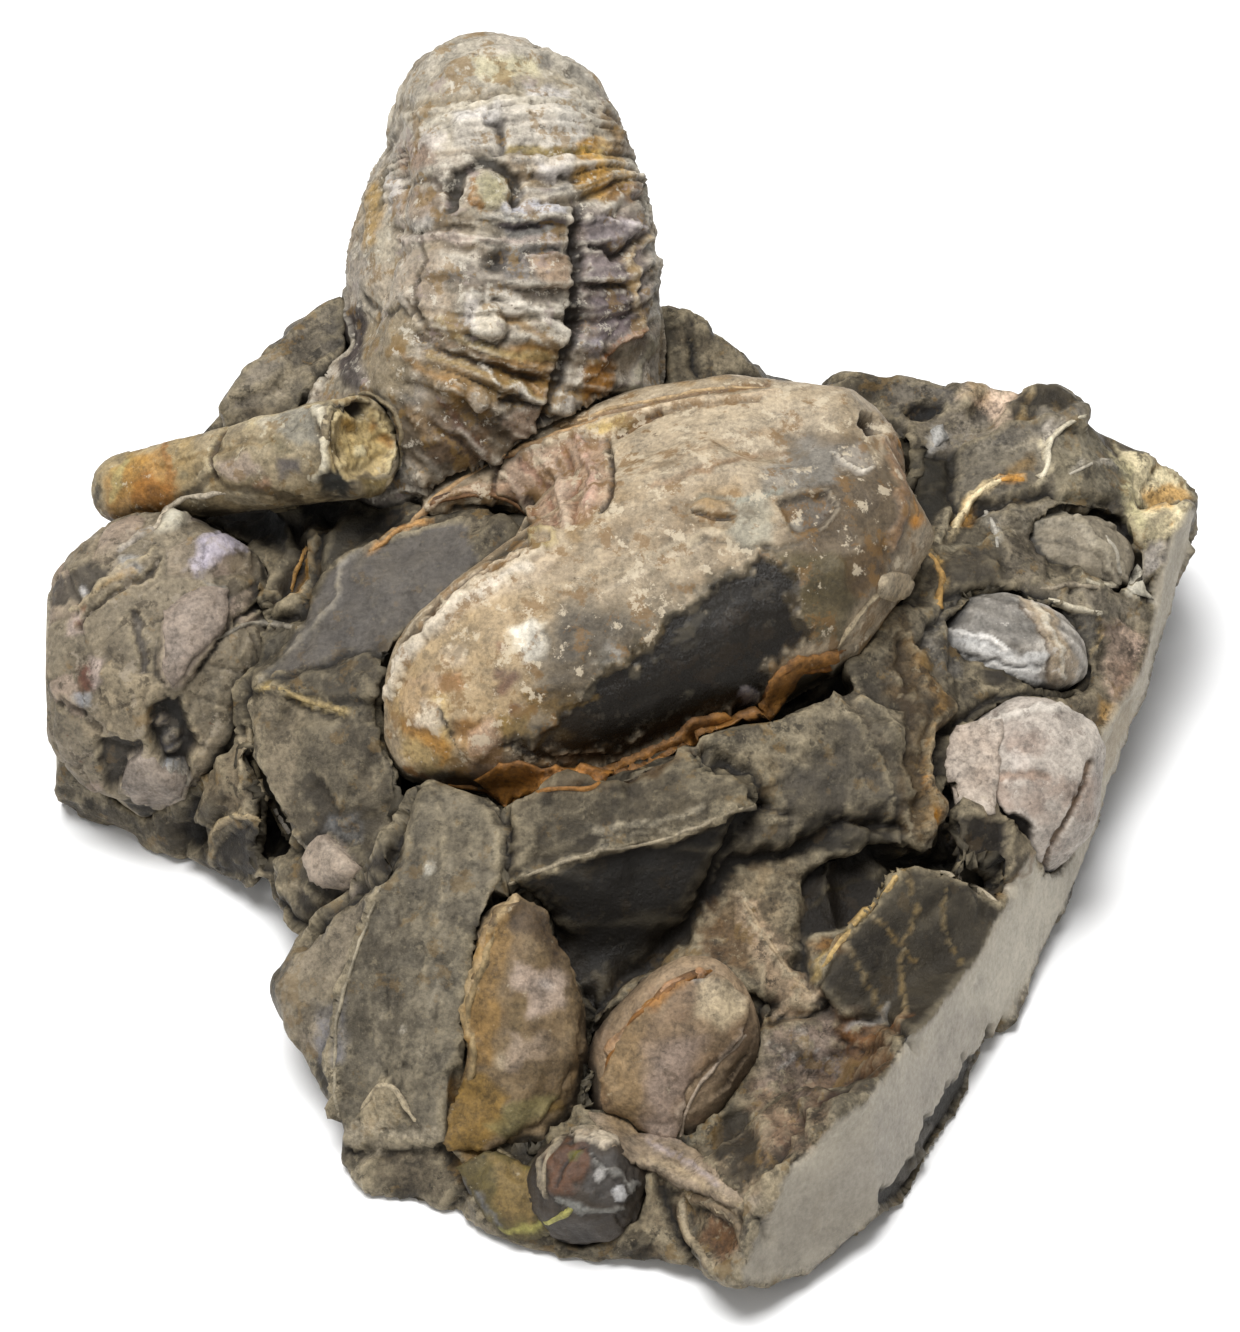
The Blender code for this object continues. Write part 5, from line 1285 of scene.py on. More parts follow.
MATRIX_MARKS = [
    # left: edges, chips and rims of shell
    line([(262, 688), (280, 687), (300, 700), (322, 708), (348, 712)], 4, (186, 162, 108), 0.85, 0.6,
         ragged=2),
    line([(264, 696), (284, 698), (304, 710), (346, 720)], 4, (76, 68, 56), 0.6, -0.4),
    area([(262, 692), (280, 694), (306, 712), (300, 760), (290, 830), (272, 800), (254, 745)],
         (142, 130, 110), 0.8, 0.2, soft=8, calm=0.4),
    line([(256, 700), (251, 742), (262, 790), (276, 812), (290, 836), (300, 848)], 3.5, (190, 176, 150), 0.85,
         0.6, ragged=2),
    line([(273, 806), (288, 832), (300, 849)], 3.5, (228, 218, 202), 0.9, 0.3, ragged=2),
    line([(290, 594), (298, 566), (306, 545)], 5, (178, 138, 84), 0.9, 0.5, ragged=3),
    line([(370, 552), (395, 531), (428, 519)], 5, (206, 158, 104), 0.9, 0.6, ragged=3),
    area([(312, 560), (330, 530), (350, 524), (366, 545), (340, 562)], (82, 77, 68), 0.85, soft=6, calm=0.6),
    line([(262, 682), (300, 640), (338, 600), (340, 566), (372, 547)], 3, (158, 152, 142), 0.7, 0.3,
         ragged=2),
    area([(330, 656), (402, 640), (396, 690), (360, 708), (300, 696), (276, 684)], (70, 66, 60), 0.8, soft=10,
         ragged=12),
    area([(308, 858), (326, 834), (346, 850), (362, 872), (350, 890), (312, 878)], (182, 167, 152), 0.95, 1.2,
         soft=5),
    area([(322, 826), (340, 812), (360, 820), (358, 836), (340, 840)], (122, 121, 119), 0.65, ragged=8),
    area([(212, 850), (226, 828), (254, 824), (266, 850), (250, 882), (216, 874)], (50, 46, 42), 0.92, -0.8,
         soft=5, calm=0.8),
    line([(205, 846), (214, 822), (240, 812), (266, 820), (292, 836)], 4, (176, 158, 126), 0.8, 0.5,
         ragged=3),
    line([(200, 690), (226, 716), (242, 746), (240, 790)], 4, (168, 152, 128), 0.8, 0.8),
    area([(200, 760), (236, 740), (250, 800), (228, 814), (198, 802)], (124, 110, 90), 0.7, soft=8, calm=0.4),
    area([(200, 662), (226, 634), (262, 622), (300, 630), (276, 676), (222, 690)], (78, 74, 66), 0.8, soft=8,
         calm=0.6),
    line([(216, 640), (250, 620), (302, 628)], 3.5, (140, 132, 118), 0.75, 0.4, ragged=2),
    line([(214, 652), (250, 646), (268, 660)], 3, (34, 30, 25), 0.8, -0.5),
    line([(262, 870), (285, 885), (310, 890)], 4, (150, 138, 118), 0.6, 0.4),
    # left front slab
    line([(440, 800), (430, 900), (415, 1000), (400, 1100)], 3, (88, 81, 69), 0.5, -0.15),
    line([(465, 810), (458, 900), (440, 1000), (425, 1090)], 3, (92, 84, 72), 0.5, -0.15),
    line([(420, 830), (408, 930), (392, 1040), (380, 1120)], 4, (88, 81, 69), 0.45, -0.15),
    line([(485, 830), (478, 900), (462, 980)], 3, (84, 76, 64), 0.5, -0.15),
    line([(400, 880), (385, 980), (372, 1080)], 3, (146, 137, 120), 0.45, 0.1),
    line([(452, 850), (440, 960), (420, 1060)], 2.5, (150, 141, 124), 0.45, 0.1),
    line([(400, 850), (402, 900), (390, 950), (385, 1010)], 3, (84, 76, 64), 0.6, -0.3),
    line([(430, 790), (445, 850), (440, 920), (425, 980)], 4, (142, 132, 114), 0.5, 0.3),
    line([(385, 872), (355, 950), (338, 1000), (332, 1060), (340, 1130)], 4, (166, 154, 132), 0.7, 0.5),
    dab(427, 868, 6, (206, 200, 186), 0.9, 0.3),
    dab(402, 1030, 4, (196, 188, 172), 0.8, 0.2),
    area([(360, 1110), (386, 1072), (420, 1128), (398, 1120), (372, 1142)], (170, 156, 130), 0.85, 0.7,
         soft=4),
    line([(385, 1070), (400, 1098), (420, 1130)], 3.5, (60, 52, 42), 0.8, -0.5),
    line([(352, 1150), (376, 1138), (400, 1140), (440, 1148)], 4, (178, 164, 138), 0.7, 0.4),
    area([(365, 1152), (440, 1150), (452, 1195), (400, 1196)], (104, 94, 78), 0.8, soft=8),
    area([(352, 1120), (400, 1128), (442, 1122), (446, 1152), (360, 1156)], (184, 172, 150), 0.65, soft=10,
         ragged=14),
    line([(498, 806), (508, 850), (508, 882), (490, 930)], 4, (66, 58, 46), 0.8, -0.8),
    # the wedge below the reclining ammonite
    area([(498, 800), (600, 788), (660, 768), (704, 744), (690, 734), (610, 762), (560, 774), (505, 788)],
         (80, 58, 32), 0.75, ragged=8),
    line([(590, 828), (640, 822), (700, 812)], 4, (170, 160, 140), 0.7, 0.2),
    line([(600, 840), (650, 832), (700, 824)], 3, (160, 150, 130), 0.6, 0.1),
    line([(508, 886), (600, 853), (670, 841), (762, 803)], 3, (134, 122, 100), 0.6, 0.3, ragged=2),
    line([(688, 742), (700, 762), (722, 770)], 3.5, (30, 26, 20), 0.9, -0.9, ragged=2),
    line([(750, 792), (760, 806), (790, 812)], 4, (34, 29, 23), 0.8, -0.8),
    # right of the middle
    line([(838, 700), (862, 728), (880, 760), (890, 810), (902, 850)], 4, (158, 146, 124), 0.75, 0.7),
    line([(852, 702), (882, 740), (896, 790)], 3, (112, 100, 82), 0.6, -0.4),
    line([(900, 628), (908, 680), (916, 730), (912, 780), (924, 830)], 22, (92, 74, 50), 0.8, ragged=9),
    line([(912, 640), (926, 680), (944, 712), (930, 746), (922, 772), (936, 802), (926, 832)], 9,
         (132, 102, 62), 0.8, 1.0),
    line([(938, 700), (932, 730), (926, 756)], 5, (164, 124, 66), 0.6, 0.2),
    line([(922, 780), (934, 804), (928, 828)], 5, (186, 128, 52), 0.75, 0.3),
    line([(898, 640), (908, 690), (904, 740)], 6, (62, 50, 36), 0.7, -0.6),
    line([(810, 976), (850, 930), (905, 872)], 4, (172, 148, 98), 0.65, 0.4, ragged=4),
    line([(862, 905), (890, 930), (920, 960)], 2.5, (140, 116, 76), 0.7, 0.2),
    line([(905, 872), (915, 910), (900, 960), (905, 1010)], 2.5, (140, 118, 80), 0.7, 0.2),
    line([(845, 945), (870, 985), (880, 1010)], 2.5, (134, 112, 74), 0.6, 0.2),
    line([(945, 885), (940, 925), (960, 960)], 2.5, (132, 112, 76), 0.6, 0.2),
    area([(808, 940), (842, 936), (845, 952), (812, 956)], (128, 90, 44), 0.75, 0.3),
    line([(812, 905), (830, 890), (880, 870)], 3, (62, 52, 26), 0.5, 0.2),
    area([(790, 1015), (880, 1020), (860, 1060), (815, 1110), (782, 1150), (745, 1110), (760, 1050)],
         (122, 94, 76), 0.6, 0.4, soft=14),
    # painted shadow over the top of the cavity below
    area([(810, 815), (905, 820), (910, 848), (830, 852), (800, 840)], (40, 35, 28), 0.85, -0.6, soft=10),
    # right: cracks, lips and veins
    area([(880, 384), (955, 392), (946, 410), (900, 416), (884, 402)], (98, 94, 90), 0.85, soft=5, calm=0.7),
    area([(903, 409), (915, 402), (940, 401), (945, 409), (930, 417), (910, 416)], (16, 13, 10), 0.97, -1.6,
         soft=4, ragged=2),
    area([(955, 402), (965, 387), (1025, 391), (1013, 400), (1007, 427), (1000, 429), (980, 409)],
         (222, 198, 176), 0.95, 0.4, soft=4, ragged=3, calm=0.7),
    area([(954, 399), (985, 391), (986, 410), (974, 407)], (184, 150, 100), 0.6, ragged=6),
    area([(1007, 427), (1012, 401), (1025, 394), (1036, 384), (1062, 383), (1084, 400), (1075, 407),
          (1040, 413), (1024, 424)], (56, 49, 38), 0.92, soft=5),
    line([(1032, 391), (1029, 404), (1016, 420)], 3.5, (150, 128, 92), 0.75, 0.3),
    area([(958, 446), (1000, 430), (1040, 413), (1086, 404), (1098, 420), (1060, 421), (1046, 431),
          (1002, 446)], (116, 110, 101), 0.8, 0.4, soft=6, calm=0.4),
    area([(930, 430), (942, 427), (946, 440), (933, 446)], (200, 198, 194), 0.85),
    area([(903, 468), (912, 455), (960, 448), (958, 470), (946, 500), (930, 522), (917, 510)], (46, 42, 33),
         0.92, -0.6, soft=6, calm=0.8),
    area([(962, 452), (1040, 446), (1044, 484), (1010, 500), (975, 496), (960, 474)], (108, 101, 89), 0.75,
         soft=8, calm=0.6),
    area([(1000, 476), (1030, 449), (1037, 457), (1010, 480)], (142, 112, 66), 0.65, ragged=7),
    area([(1056, 424), (1100, 424), (1124, 460), (1126, 500), (1060, 502), (1050, 450)], (136, 128, 108), 0.7,
         soft=10, calm=0.3),
    line([(952, 535), (965, 511), (971, 499), (986, 487), (1002, 479)], 4, (236, 212, 168), 0.9, 0.6,
         ragged=3),
    line([(998, 481), (1024, 477)], 5, (226, 166, 92), 0.9, 0.5, ragged=3),
    area([(961, 522), (970, 502), (976, 510), (970, 522)], (210, 162, 98), 0.85, ragged=3),
    line([(940, 540), (944, 520), (948, 508)], 4, (198, 186, 160), 0.75, 0.4, ragged=3),
    line([(986, 512), (998, 530), (996, 546)], 3.5, (206, 202, 192), 0.8, 0.4, ragged=3),
    line([(1042, 440), (1048, 454), (1051, 468), (1040, 481)], 3.5, (234, 222, 192), 0.9, 0.6, ragged=2),
    area([(1041, 440), (1046, 425), (1062, 417), (1080, 418), (1066, 426), (1052, 438)], (204, 194, 180),
         0.85, 0.3, soft=4),
    line([(1070, 475), (1085, 466), (1100, 459), (1115, 459), (1124, 474)], 3.5, (200, 193, 180), 0.75, 0.3),
    line([(1000, 542), (1024, 527), (1046, 514)], 3.5, (176, 166, 146), 0.7, 0.3),
    # painted shadow: the near-black crescent under the overhanging ledge
    area([(1048, 515), (1064, 505), (1095, 507), (1116, 511), (1130, 520), (1137, 546), (1116, 541),
          (1096, 529), (1070, 519)], (13, 11, 9), 0.98, -1.8, soft=4, ragged=3),
    area([(950, 550), (1004, 548), (1018, 588), (960, 590), (946, 572)], (72, 66, 57), 0.8, soft=6, calm=0.4),
    line([(945, 545), (975, 545), (1002, 540)], 3, (170, 160, 138), 0.7, 0.3),
    area([(936, 588), (1000, 588), (1000, 594), (940, 596)], (24, 20, 16), 0.95, -1.0, soft=4),
    line([(918, 542), (930, 555), (942, 567), (943, 585), (937, 607)], 4, (180, 146, 90), 0.85, 0.5,
         ragged=2),
    line([(1080, 578), (1102, 586), (1126, 588)], 5, (186, 178, 158), 0.75, 0.5, ragged=4),
    area([(1136, 566), (1144, 578), (1150, 600), (1138, 596), (1128, 586)], (206, 200, 184), 0.75, 0.3,
         soft=4),
    area([(1118, 444), (1136, 448), (1158, 456), (1188, 486), (1188, 520), (1168, 542), (1140, 542),
          (1126, 500)], (234, 220, 184), 0.97, 0.5, soft=6, ragged=6),
    area([(1144, 490), (1180, 486), (1185, 500), (1166, 522), (1144, 512)], (216, 166, 94), 0.75, ragged=9),
    area([(1119, 446), (1132, 470), (1136, 500), (1152, 530), (1156, 541), (1136, 536), (1124, 500)],
         (188, 180, 142), 0.75, ragged=5),
    line([(1148, 452), (1160, 466), (1150, 474)], 4, (160, 128, 78), 0.7, -0.3),
    area([(1138, 550), (1150, 540), (1172, 544), (1166, 562), (1144, 572)], (176, 170, 164), 0.85, 0.3,
         soft=5),
    area([(1132, 556), (1146, 575), (1162, 580), (1156, 604), (1146, 598), (1136, 574)], (44, 38, 30), 0.9,
         -0.8, soft=4),
    area([(1055, 610), (1092, 611), (1099, 630), (1086, 651), (1070, 641)], (108, 103, 95), 0.85, 0.3, soft=4,
         calm=0.6),
    line([(1048, 599), (1075, 607), (1106, 612)], 3.5, (210, 200, 178), 0.8, 0.5, ragged=3),
    line([(1096, 612), (1101, 634), (1092, 652)], 3, (190, 162, 114), 0.75, 0.3),
    area([(1100, 620), (1120, 624), (1144, 638), (1150, 662), (1140, 692), (1116, 702), (1104, 682),
          (1107, 650)], (198, 174, 156), 0.85, 0.8, soft=5, ragged=4, calm=0.4),
    area([(1112, 660), (1140, 660), (1138, 690), (1116, 696)], (134, 106, 90), 0.7, ragged=8),
    area([(1100, 700), (1120, 704), (1120, 728), (1098, 722)], (180, 144, 94), 0.8, ragged=4),
    line([(945, 730), (985, 700), (1075, 688)], 6, (34, 29, 23), 0.92, -1.2),
    line([(1005, 900), (1030, 868), (1052, 816), (1084, 785), (1104, 733), (1122, 702)], 5, (150, 122, 84),
         0.7, 0.4),
    area([(924, 645), (933, 606), (958, 592), (956, 640), (962, 684), (940, 672)], (120, 115, 107), 0.85, 0.3,
         soft=6, calm=0.7),
    area([(1000, 548), (1020, 530), (1044, 520), (1044, 584), (1010, 588)], (130, 120, 104), 0.85, 0.3,
         soft=6, calm=0.5),
    area([(954, 826), (975, 815), (1002, 822), (1012, 860), (1002, 888), (975, 874), (960, 850)],
         (38, 32, 26), 0.92, -1.0, soft=5),
    # shell bed at the front
    area([(745, 1035), (757, 1000), (792, 990), (780, 1020)], (44, 38, 32), 0.9, -0.8, soft=5),
    area([(732, 888), (752, 896), (790, 950), (818, 1002), (790, 1012), (762, 986), (746, 940)],
         (166, 144, 120), 0.8, 0.6, soft=6, ragged=8),
    line([(740, 890), (756, 925), (780, 960), (812, 998)], 4, (200, 182, 156), 0.7, 0.5),
    area([(692, 950), (716, 900), (734, 890), (746, 940), (752, 980), (716, 962)], (98, 74, 50), 0.75,
         ragged=10),
    area([(678, 1146), (678, 1112), (690, 1086), (716, 1084), (722, 1100), (708, 1142)], (100, 96, 84), 0.9,
         0.5, soft=5),
    line([(722, 1092), (716, 1120), (706, 1140)], 4, (138, 112, 78), 0.8, 0.3),
    area([(712, 1140), (726, 1100), (746, 1112), (756, 1160), (748, 1190), (718, 1168)], (56, 51, 42), 0.9,
         -0.4, soft=6, calm=0.8),
    area([(764, 1040), (800, 1036), (840, 1050), (830, 1080), (790, 1076), (764, 1068)], (152, 140, 136), 0.6,
         ragged=16),
    area([(832, 1018), (892, 1020), (890, 1066), (858, 1082), (838, 1060)], (108, 78, 52), 0.8, ragged=10),
    line([(846, 1028), (872, 1020), (884, 1006)], 4, (168, 164, 158), 0.7, 0.3),
    area([(716, 1182), (748, 1190), (792, 1200), (764, 1216), (736, 1206)], (134, 134, 130), 0.7, ragged=6),
    area([(776, 1204), (796, 1204), (788, 1226), (764, 1218)], (122, 82, 56), 0.8),
    area([(825, 1130), (838, 1100), (860, 1087), (870, 1092), (862, 1116), (838, 1134)], (84, 80, 73), 0.9,
         0.5, soft=5, calm=0.8),
    dab(765, 1030, 11, (132, 108, 98), 0.8, 0.9),
    dab(800, 1050, 13, (126, 106, 92), 0.8, 1.0),
    dab(835, 1045, 10, (120, 102, 86), 0.8, 0.8),
    dab(780, 1085, 13, (130, 110, 96), 0.8, 1.0),
    dab(760, 1125, 12, (138, 120, 100), 0.8, 0.9),
    dab(812, 1110, 10, (118, 100, 84), 0.8, 0.7),
    line([(600, 1118), (640, 1150), (700, 1170), (760, 1212)], 6, (176, 160, 136), 0.7, 0.6, ragged=8),
    line([(688, 1069), (720, 1046), (756, 1020), (796, 994)], 4, (200, 178, 152), 0.75, 0.6),
    area([(748, 1040), (800, 1010), (842, 1016), (838, 1060), (800, 1100), (760, 1100)], (150, 134, 122),
         0.65, ragged=14),
    line([(770, 1040), (790, 1056), (782, 1076)], 3, (208, 202, 196), 0.7, 0.3, ragged=8),
    line([(800, 1030), (812, 1052), (830, 1060)], 3, (202, 196, 188), 0.7, 0.3, ragged=8),
    line([(762, 1090), (790, 1108), (800, 1140)], 3, (176, 150, 122), 0.65, 0.3, ragged=10),
    line([(836, 1026), (860, 1040), (884, 1034), (905, 1012)], 5, (136, 92, 56), 0.75, 0.3),
    line([(840, 1037), (866, 1051), (892, 1043)], 3, (68, 48, 34), 0.7, -0.4),
    line([(640, 1160), (690, 1195), (735, 1222)], 4, (190, 170, 144), 0.75, 0.5),
    line([(650, 1172), (690, 1205), (720, 1220)], 3, (68, 62, 54), 0.8, -0.4),
    line([(684, 1208), (690, 1236), (706, 1262), (724, 1272)], 6, (84, 84, 78), 0.85, 0.2),
    area([(700, 1215), (730, 1225), (740, 1250), (722, 1262), (704, 1244)], (132, 100, 76), 0.75, -0.3),
    line([(694, 1200), (716, 1206), (738, 1232), (744, 1256)], 3, (198, 178, 152), 0.7, 0.5),
    area([(453, 1090), (480, 1075), (499, 1100), (490, 1150), (470, 1189), (452, 1170)], (142, 106, 56), 0.7,
         ragged=8),
    line([(478, 1162), (492, 1150), (512, 1160), (521, 1190)], 3, (192, 170, 132), 0.75, 0.5),
    area([(640, 1150), (700, 1150), (760, 1180), (790, 1160), (770, 1215), (700, 1196)], (158, 140, 116), 0.6,
         0.3, soft=14, ragged=14),
    line([(680, 1200), (690, 1240), (716, 1270)], 5, (176, 162, 138), 0.85, 0.7),
    dab(720, 1235, 20, (96, 68, 42), 0.85, -0.9),
    line([(740, 1200), (755, 1225), (745, 1265)], 4, (150, 138, 116), 0.6, 0.4),
    area([(455, 1190), (490, 1195), (486, 1225), (460, 1222)], (118, 110, 96), 0.85, 0.7, soft=5),
    area([(500, 1140), (545, 1130), (560, 1165), (520, 1180)], (44, 36, 24), 0.85, -1.6, soft=8),
    line([(560, 1110), (548, 1135), (556, 1160)], 4, (150, 120, 60), 0.7, 0.5),
]
# Crumbs and veins along the lower edge of the saw cut. The first three areas paint the sawn face paler up the
# cut and darker towards its lower front end.
RUBBLE = [
    area([(735, 1290), (825, 1275), (890, 1200), (900, 1130), (850, 1150), (790, 1190), (755, 1240)],
         (168, 160, 146), 0.9, soft=50),
    area([(840, 1200), (900, 1180), (965, 1075), (1000, 1010), (960, 1000), (900, 1080), (850, 1150)],
         (181, 173, 160), 0.9, soft=50),
    area([(960, 1010), (1010, 920), (1055, 840), (1078, 850), (1060, 930), (1005, 1015)], (210, 202, 186),
         0.7, soft=30),
    area([(878, 1212), (884, 1194), (916, 1160), (936, 1112), (968, 1062), (994, 1030), (1004, 1034),
          (982, 1072), (962, 1112), (926, 1196), (890, 1218)], (44, 39, 33), 0.95, -1.3, soft=6, ragged=7),
    line([(905, 1180), (935, 1130)], 5, (92, 84, 72), 0.7, 0.6),
    line([(1004, 896), (1030, 866), (1052, 816)], 5, (120, 92, 60), 0.5, -0.2),
    area([(1085, 782), (1104, 736), (1122, 706), (1140, 690), (1126, 730), (1106, 776), (1092, 800)],
         (170, 152, 124), 0.5, ragged=8),
]
# The dark joints between the matrix's blocks: dots, half width in dots and depth in mm.
JOINTS = [
    ([(290, 520), (302, 545), (292, 578), (262, 606), (236, 626), (222, 652), (200, 668), (186, 700),
      (194, 742), (197, 790), (186, 830), (192, 866)], 8, 1.8),
    ([(383, 690), (385, 722), (398, 750), (410, 772), (404, 802), (394, 838), (378, 874), (344, 898),
      (300, 936)], 9, 2.0),
    ([(404, 800), (430, 776), (456, 784), (500, 804)], 6, 1.0),
    ([(500, 804), (510, 850), (507, 886), (490, 926), (480, 980), (466, 1020)], 6, 1.2),
    ([(508, 890), (540, 912), (562, 948), (576, 986), (600, 1002), (626, 970), (682, 934), (704, 902),
      (740, 834), (764, 804)], 9, 2.0),
    ([(762, 800), (750, 772), (722, 762), (692, 742)], 5, 1.0),
    ([(915, 862), (960, 872), (1008, 892)], 6, 1.2),
    ([(945, 730), (946, 790), (954, 834), (976, 868), (1015, 884)], 8, 1.6),
    ([(925, 640), (950, 603), (990, 592), (1050, 596), (1084, 644), (1088, 680)], 6, 1.0),
    ([(880, 588), (906, 562), (920, 522), (913, 480), (898, 436)], 8, 1.5),
    ([(955, 522), (1000, 502), (1042, 492), (1112, 502)], 5, 0.9),
    ([(745, 1036), (692, 1086), (680, 1146), (700, 1172)], 6, 1.2),
    ([(587, 1000), (582, 1046), (598, 1110), (640, 1136)], 8, 1.6),
    ([(440, 1152), (470, 1182), (456, 1206)], 6, 1.0),
    ([(545, 1168), (544, 1200), (566, 1228), (606, 1232), (632, 1206)], 6, 1.0),
    ([(660, 1182), (672, 1222), (692, 1262)], 5, 1.0),
    ([(704, 1172), (746, 1202), (766, 1236)], 5, 0.8),
    ([(345, 1152), (400, 1154), (446, 1150)], 6, 0.8),
    ([(716, 902), (742, 864), (800, 852), (850, 818), (908, 822)], 8, 1.6),
    ([(806, 884), (832, 866), (880, 854), (910, 862)], 6, 1.2),
    ([(826, 1012), (850, 1024), (880, 1014), (915, 1046)], 5, 0.8),
    ([(246, 690), (244, 740), (256, 792), (268, 824), (294, 852)], 7, 1.6),
    ([(200, 660), (250, 634), (300, 612), (312, 560), (330, 520)], 6, 1.2),
    ([(262, 690), (330, 660), (400, 650), (408, 626)], 4, 0.5),
    ([(266, 826), (258, 856), (276, 890), (300, 936)], 6, 1.2),
    ([(770, 1166), (800, 1120), (850, 1080), (880, 1060)], 5, 0.7),
    ([(800, 940), (804, 985), (826, 1012), (790, 1010), (756, 1000)], 6, 1.0),
    ([(652, 312), (660, 350), (664, 400)], 5, 0.8),
    ([(690, 316), (694, 350), (700, 390)], 4, 0.6),
    ([(905, 446), (952, 450), (954, 508), (1000, 500)], 5, 0.8),
]
# The pale worn edges of its blocks: dots and half width.
CRESTS = [
    ([(508, 882), (560, 862), (602, 848), (672, 836), (760, 798)], 4),
    ([(905, 870), (932, 867), (970, 884), (1003, 905)], 4),
    ([(905, 870), (870, 906), (850, 930), (822, 968)], 4),
    ([(386, 872), (356, 950), (340, 1000), (332, 1060), (340, 1130)], 4),
    ([(268, 990), (290, 940), (320, 915), (345, 896), (378, 880)], 4),
    ([(338, 562), (370, 546), (440, 525), (462, 520)], 4),
    ([(300, 612), (296, 588), (308, 545), (330, 521)], 4),
    ([(740, 838), (762, 804), (750, 774)], 4),
    ([(962, 452), (1008, 424), (1062, 420), (1092, 432)], 4),
    ([(862, 700), (884, 712), (900, 760), (914, 826)], 4),
    ([(800, 940), (850, 926), (906, 872)], 4),
]
BEDDING = (0.16, -0.28, 1.0)  # the direction across the mudstone's thin beds
SAWING = (0.3, 0.75, 0.6)  # along the saw's marks


def on_cut(skin):
    """1 on a sawn face and 0 elsewhere."""
    sawn = np.zeros(len(skin.places))
    for point, outwards in SAW_CUTS:
        outwards = outwards / np.linalg.norm(outwards)
        flat = 1 - smooth(0.25, 0.6, np.abs((skin.places - point) @ outwards))
        sawn = np.maximum(sawn, flat * smooth(0.93, 0.98, skin.normals @ outwards))
    return sawn


def matrix():
    """The mudstone, with its broken faces, joints, worn crests and saw cuts."""
    skin = Skin("matrix", voxel=0.8, evened=2)
    sawn = on_cut(skin)
    sawn = np.minimum(sawn, skin.averaged(sawn, 2))
    lively = smooth(-0.5, 0.4, rough(skin.places, 18, 70, 2))
    relief = broken_relief(skin.places, 11, 71, 0.15, 0.6)
    relief += broken_relief(skin.places * (1, 1, 1.3), 5, 72, 0.17, 0.25) * (0.5 + 0.5 * lively)
    relief += (0.16 * rough(skin.places, 2.2, 73) + 0.4 * rough(skin.places, 7, 74)) * (0.35 + 0.65 * lively)
    relief = skin.averaged(relief, 1)
    skin.paint[:] = linear((96, 88, 74))
    skin.clouded(22, 75, -0.2, 0.5, 0.6, (116, 106, 90))
    skin.clouded(15, 76, 0.1, 0.6, 0.7, (64, 58, 50))
    skin.clouded(10, 77, 0.25, 0.6, 0.5, (136, 118, 88))
    skin.marked(MATRIX_TONES)
    uneven = 1 - skin.calm
    skin.height += relief * (1 - sawn) * (0.25 + 0.75 * uneven)
    for size, seed in ((11, 71), (4.5, 78)):
        facets, _, rim = broken(skin.places, size, seed)
        skin.blend((facets[:, 0] > 0.68) * 0.36 * uneven, (146, 135, 114))
        skin.blend((facets[:, 1] > 0.65) * 0.4 * uneven, (50, 45, 38))
        skin.blend((1 - smooth(0.0, 0.9, rim)) * (facets[:, 2] > 0.5) * 0.4 * uneven, (168, 156, 132))
    beds = ripple(skin.places @ along_axes(BEDDING, (1.0, 0.12, 0.12)), 1.1, 79)
    skin.blend(smooth(0.2, 0.8, beds) * 0.22 * (1 - sawn), (140, 130, 110))
    skin.height += 0.12 * beds * (1 - sawn)
    skin.gloss[:] = np.maximum(skin.gloss, 0.22)
    skin.marked([line(dots, width, (172, 160, 136), 0.75, 0.6, ragged=3) for dots, width in CRESTS])
    skin.marked([line(dots, width * 2.2, (60, 53, 44), 0.5, -depth * 0.5) for dots, width, depth in JOINTS])
    skin.marked([line(dots, width, (24, 20, 15), 0.95, -depth) for dots, width, depth in JOINTS])
    skin.marked(MATRIX_MARKS)
    skin.patchy = (1 - 0.85 * sawn) * (0.35 + 0.65 * uneven)
    scratches = ripple(skin.places @ along_axes(SAWING, (0.05, 1.0, 1.0)), 1.8, 81)
    skin.blend(sawn * 0.95, CUT_TONE)
    skin.paint *= (1 + 0.13 * sawn * scratches)[:, None]
    skin.marked(RUBBLE)
    settled_and_shaded(skin)
    broken_part = 1 - sawn
    skin.worn(0.06, 0.4, (0.2 + 0.5 * skin.light) * broken_part, (160, 148, 124))
    skin.soiled_and_shaded(0.08, 0.5, 0.6 * broken_part, (44, 38, 30))
    # painted shade in the wide hollows of the rock
    skin.blend(smooth(0.8, 3.5, -skin.swell) * 0.5 * broken_part, (52, 45, 34))
    # paler on faces that look up: dust and painted light from above
    dust_and_top_light = smooth(0.3, 0.95, skin.normals[:, 2]) * smooth(-0.2, 0.5, rough(skin.places, 8, 80)) * uneven
    skin.blend(dust_and_top_light * 0.28 * skin.light * broken_part, (148, 134, 108))
    material = painted(
        "mudstone", grain=0.27, grain_size=0.8, flake_size=4.0, flakes=0.09, patches=(
            (9.0, 0.53, 0.07, (56, 49, 39), 0.6), (3.2, 0.57, 0.05, (42, 37, 29), 0.65),
            (5.0, 0.56, 0.05, (138, 112, 72), 0.5), (2.0, 0.59, 0.04, (158, 146, 122), 0.5),
            (0.8, 0.64, 0.04, (190, 178, 152), 0.45), (0.35, 0.68, 0.03, (232, 228, 218), 0.6),
        ), bump=0.4, rough_span=(0.6, 0.24), sheen=0.22)
    return skin.finished(material, "mudstone")


# ---------------------------------------------------------------- plates and upright edges on the skins

TRIMMINGS_GLOSS = 0.35
FIN_STEP = 4.0  # dots between the places along an upright edge
FIN_GAP = 2.5  # mm, a jump on the skins that ends one edge and begins the next
FIN_SHORTEST = 5  # places, and what is no longer than that is left out
PLATE_STEP = 4.5  # dots between the places of a plate
PLATE_FLATNESS = 0.35  # share by which a plate evens out the skin under it


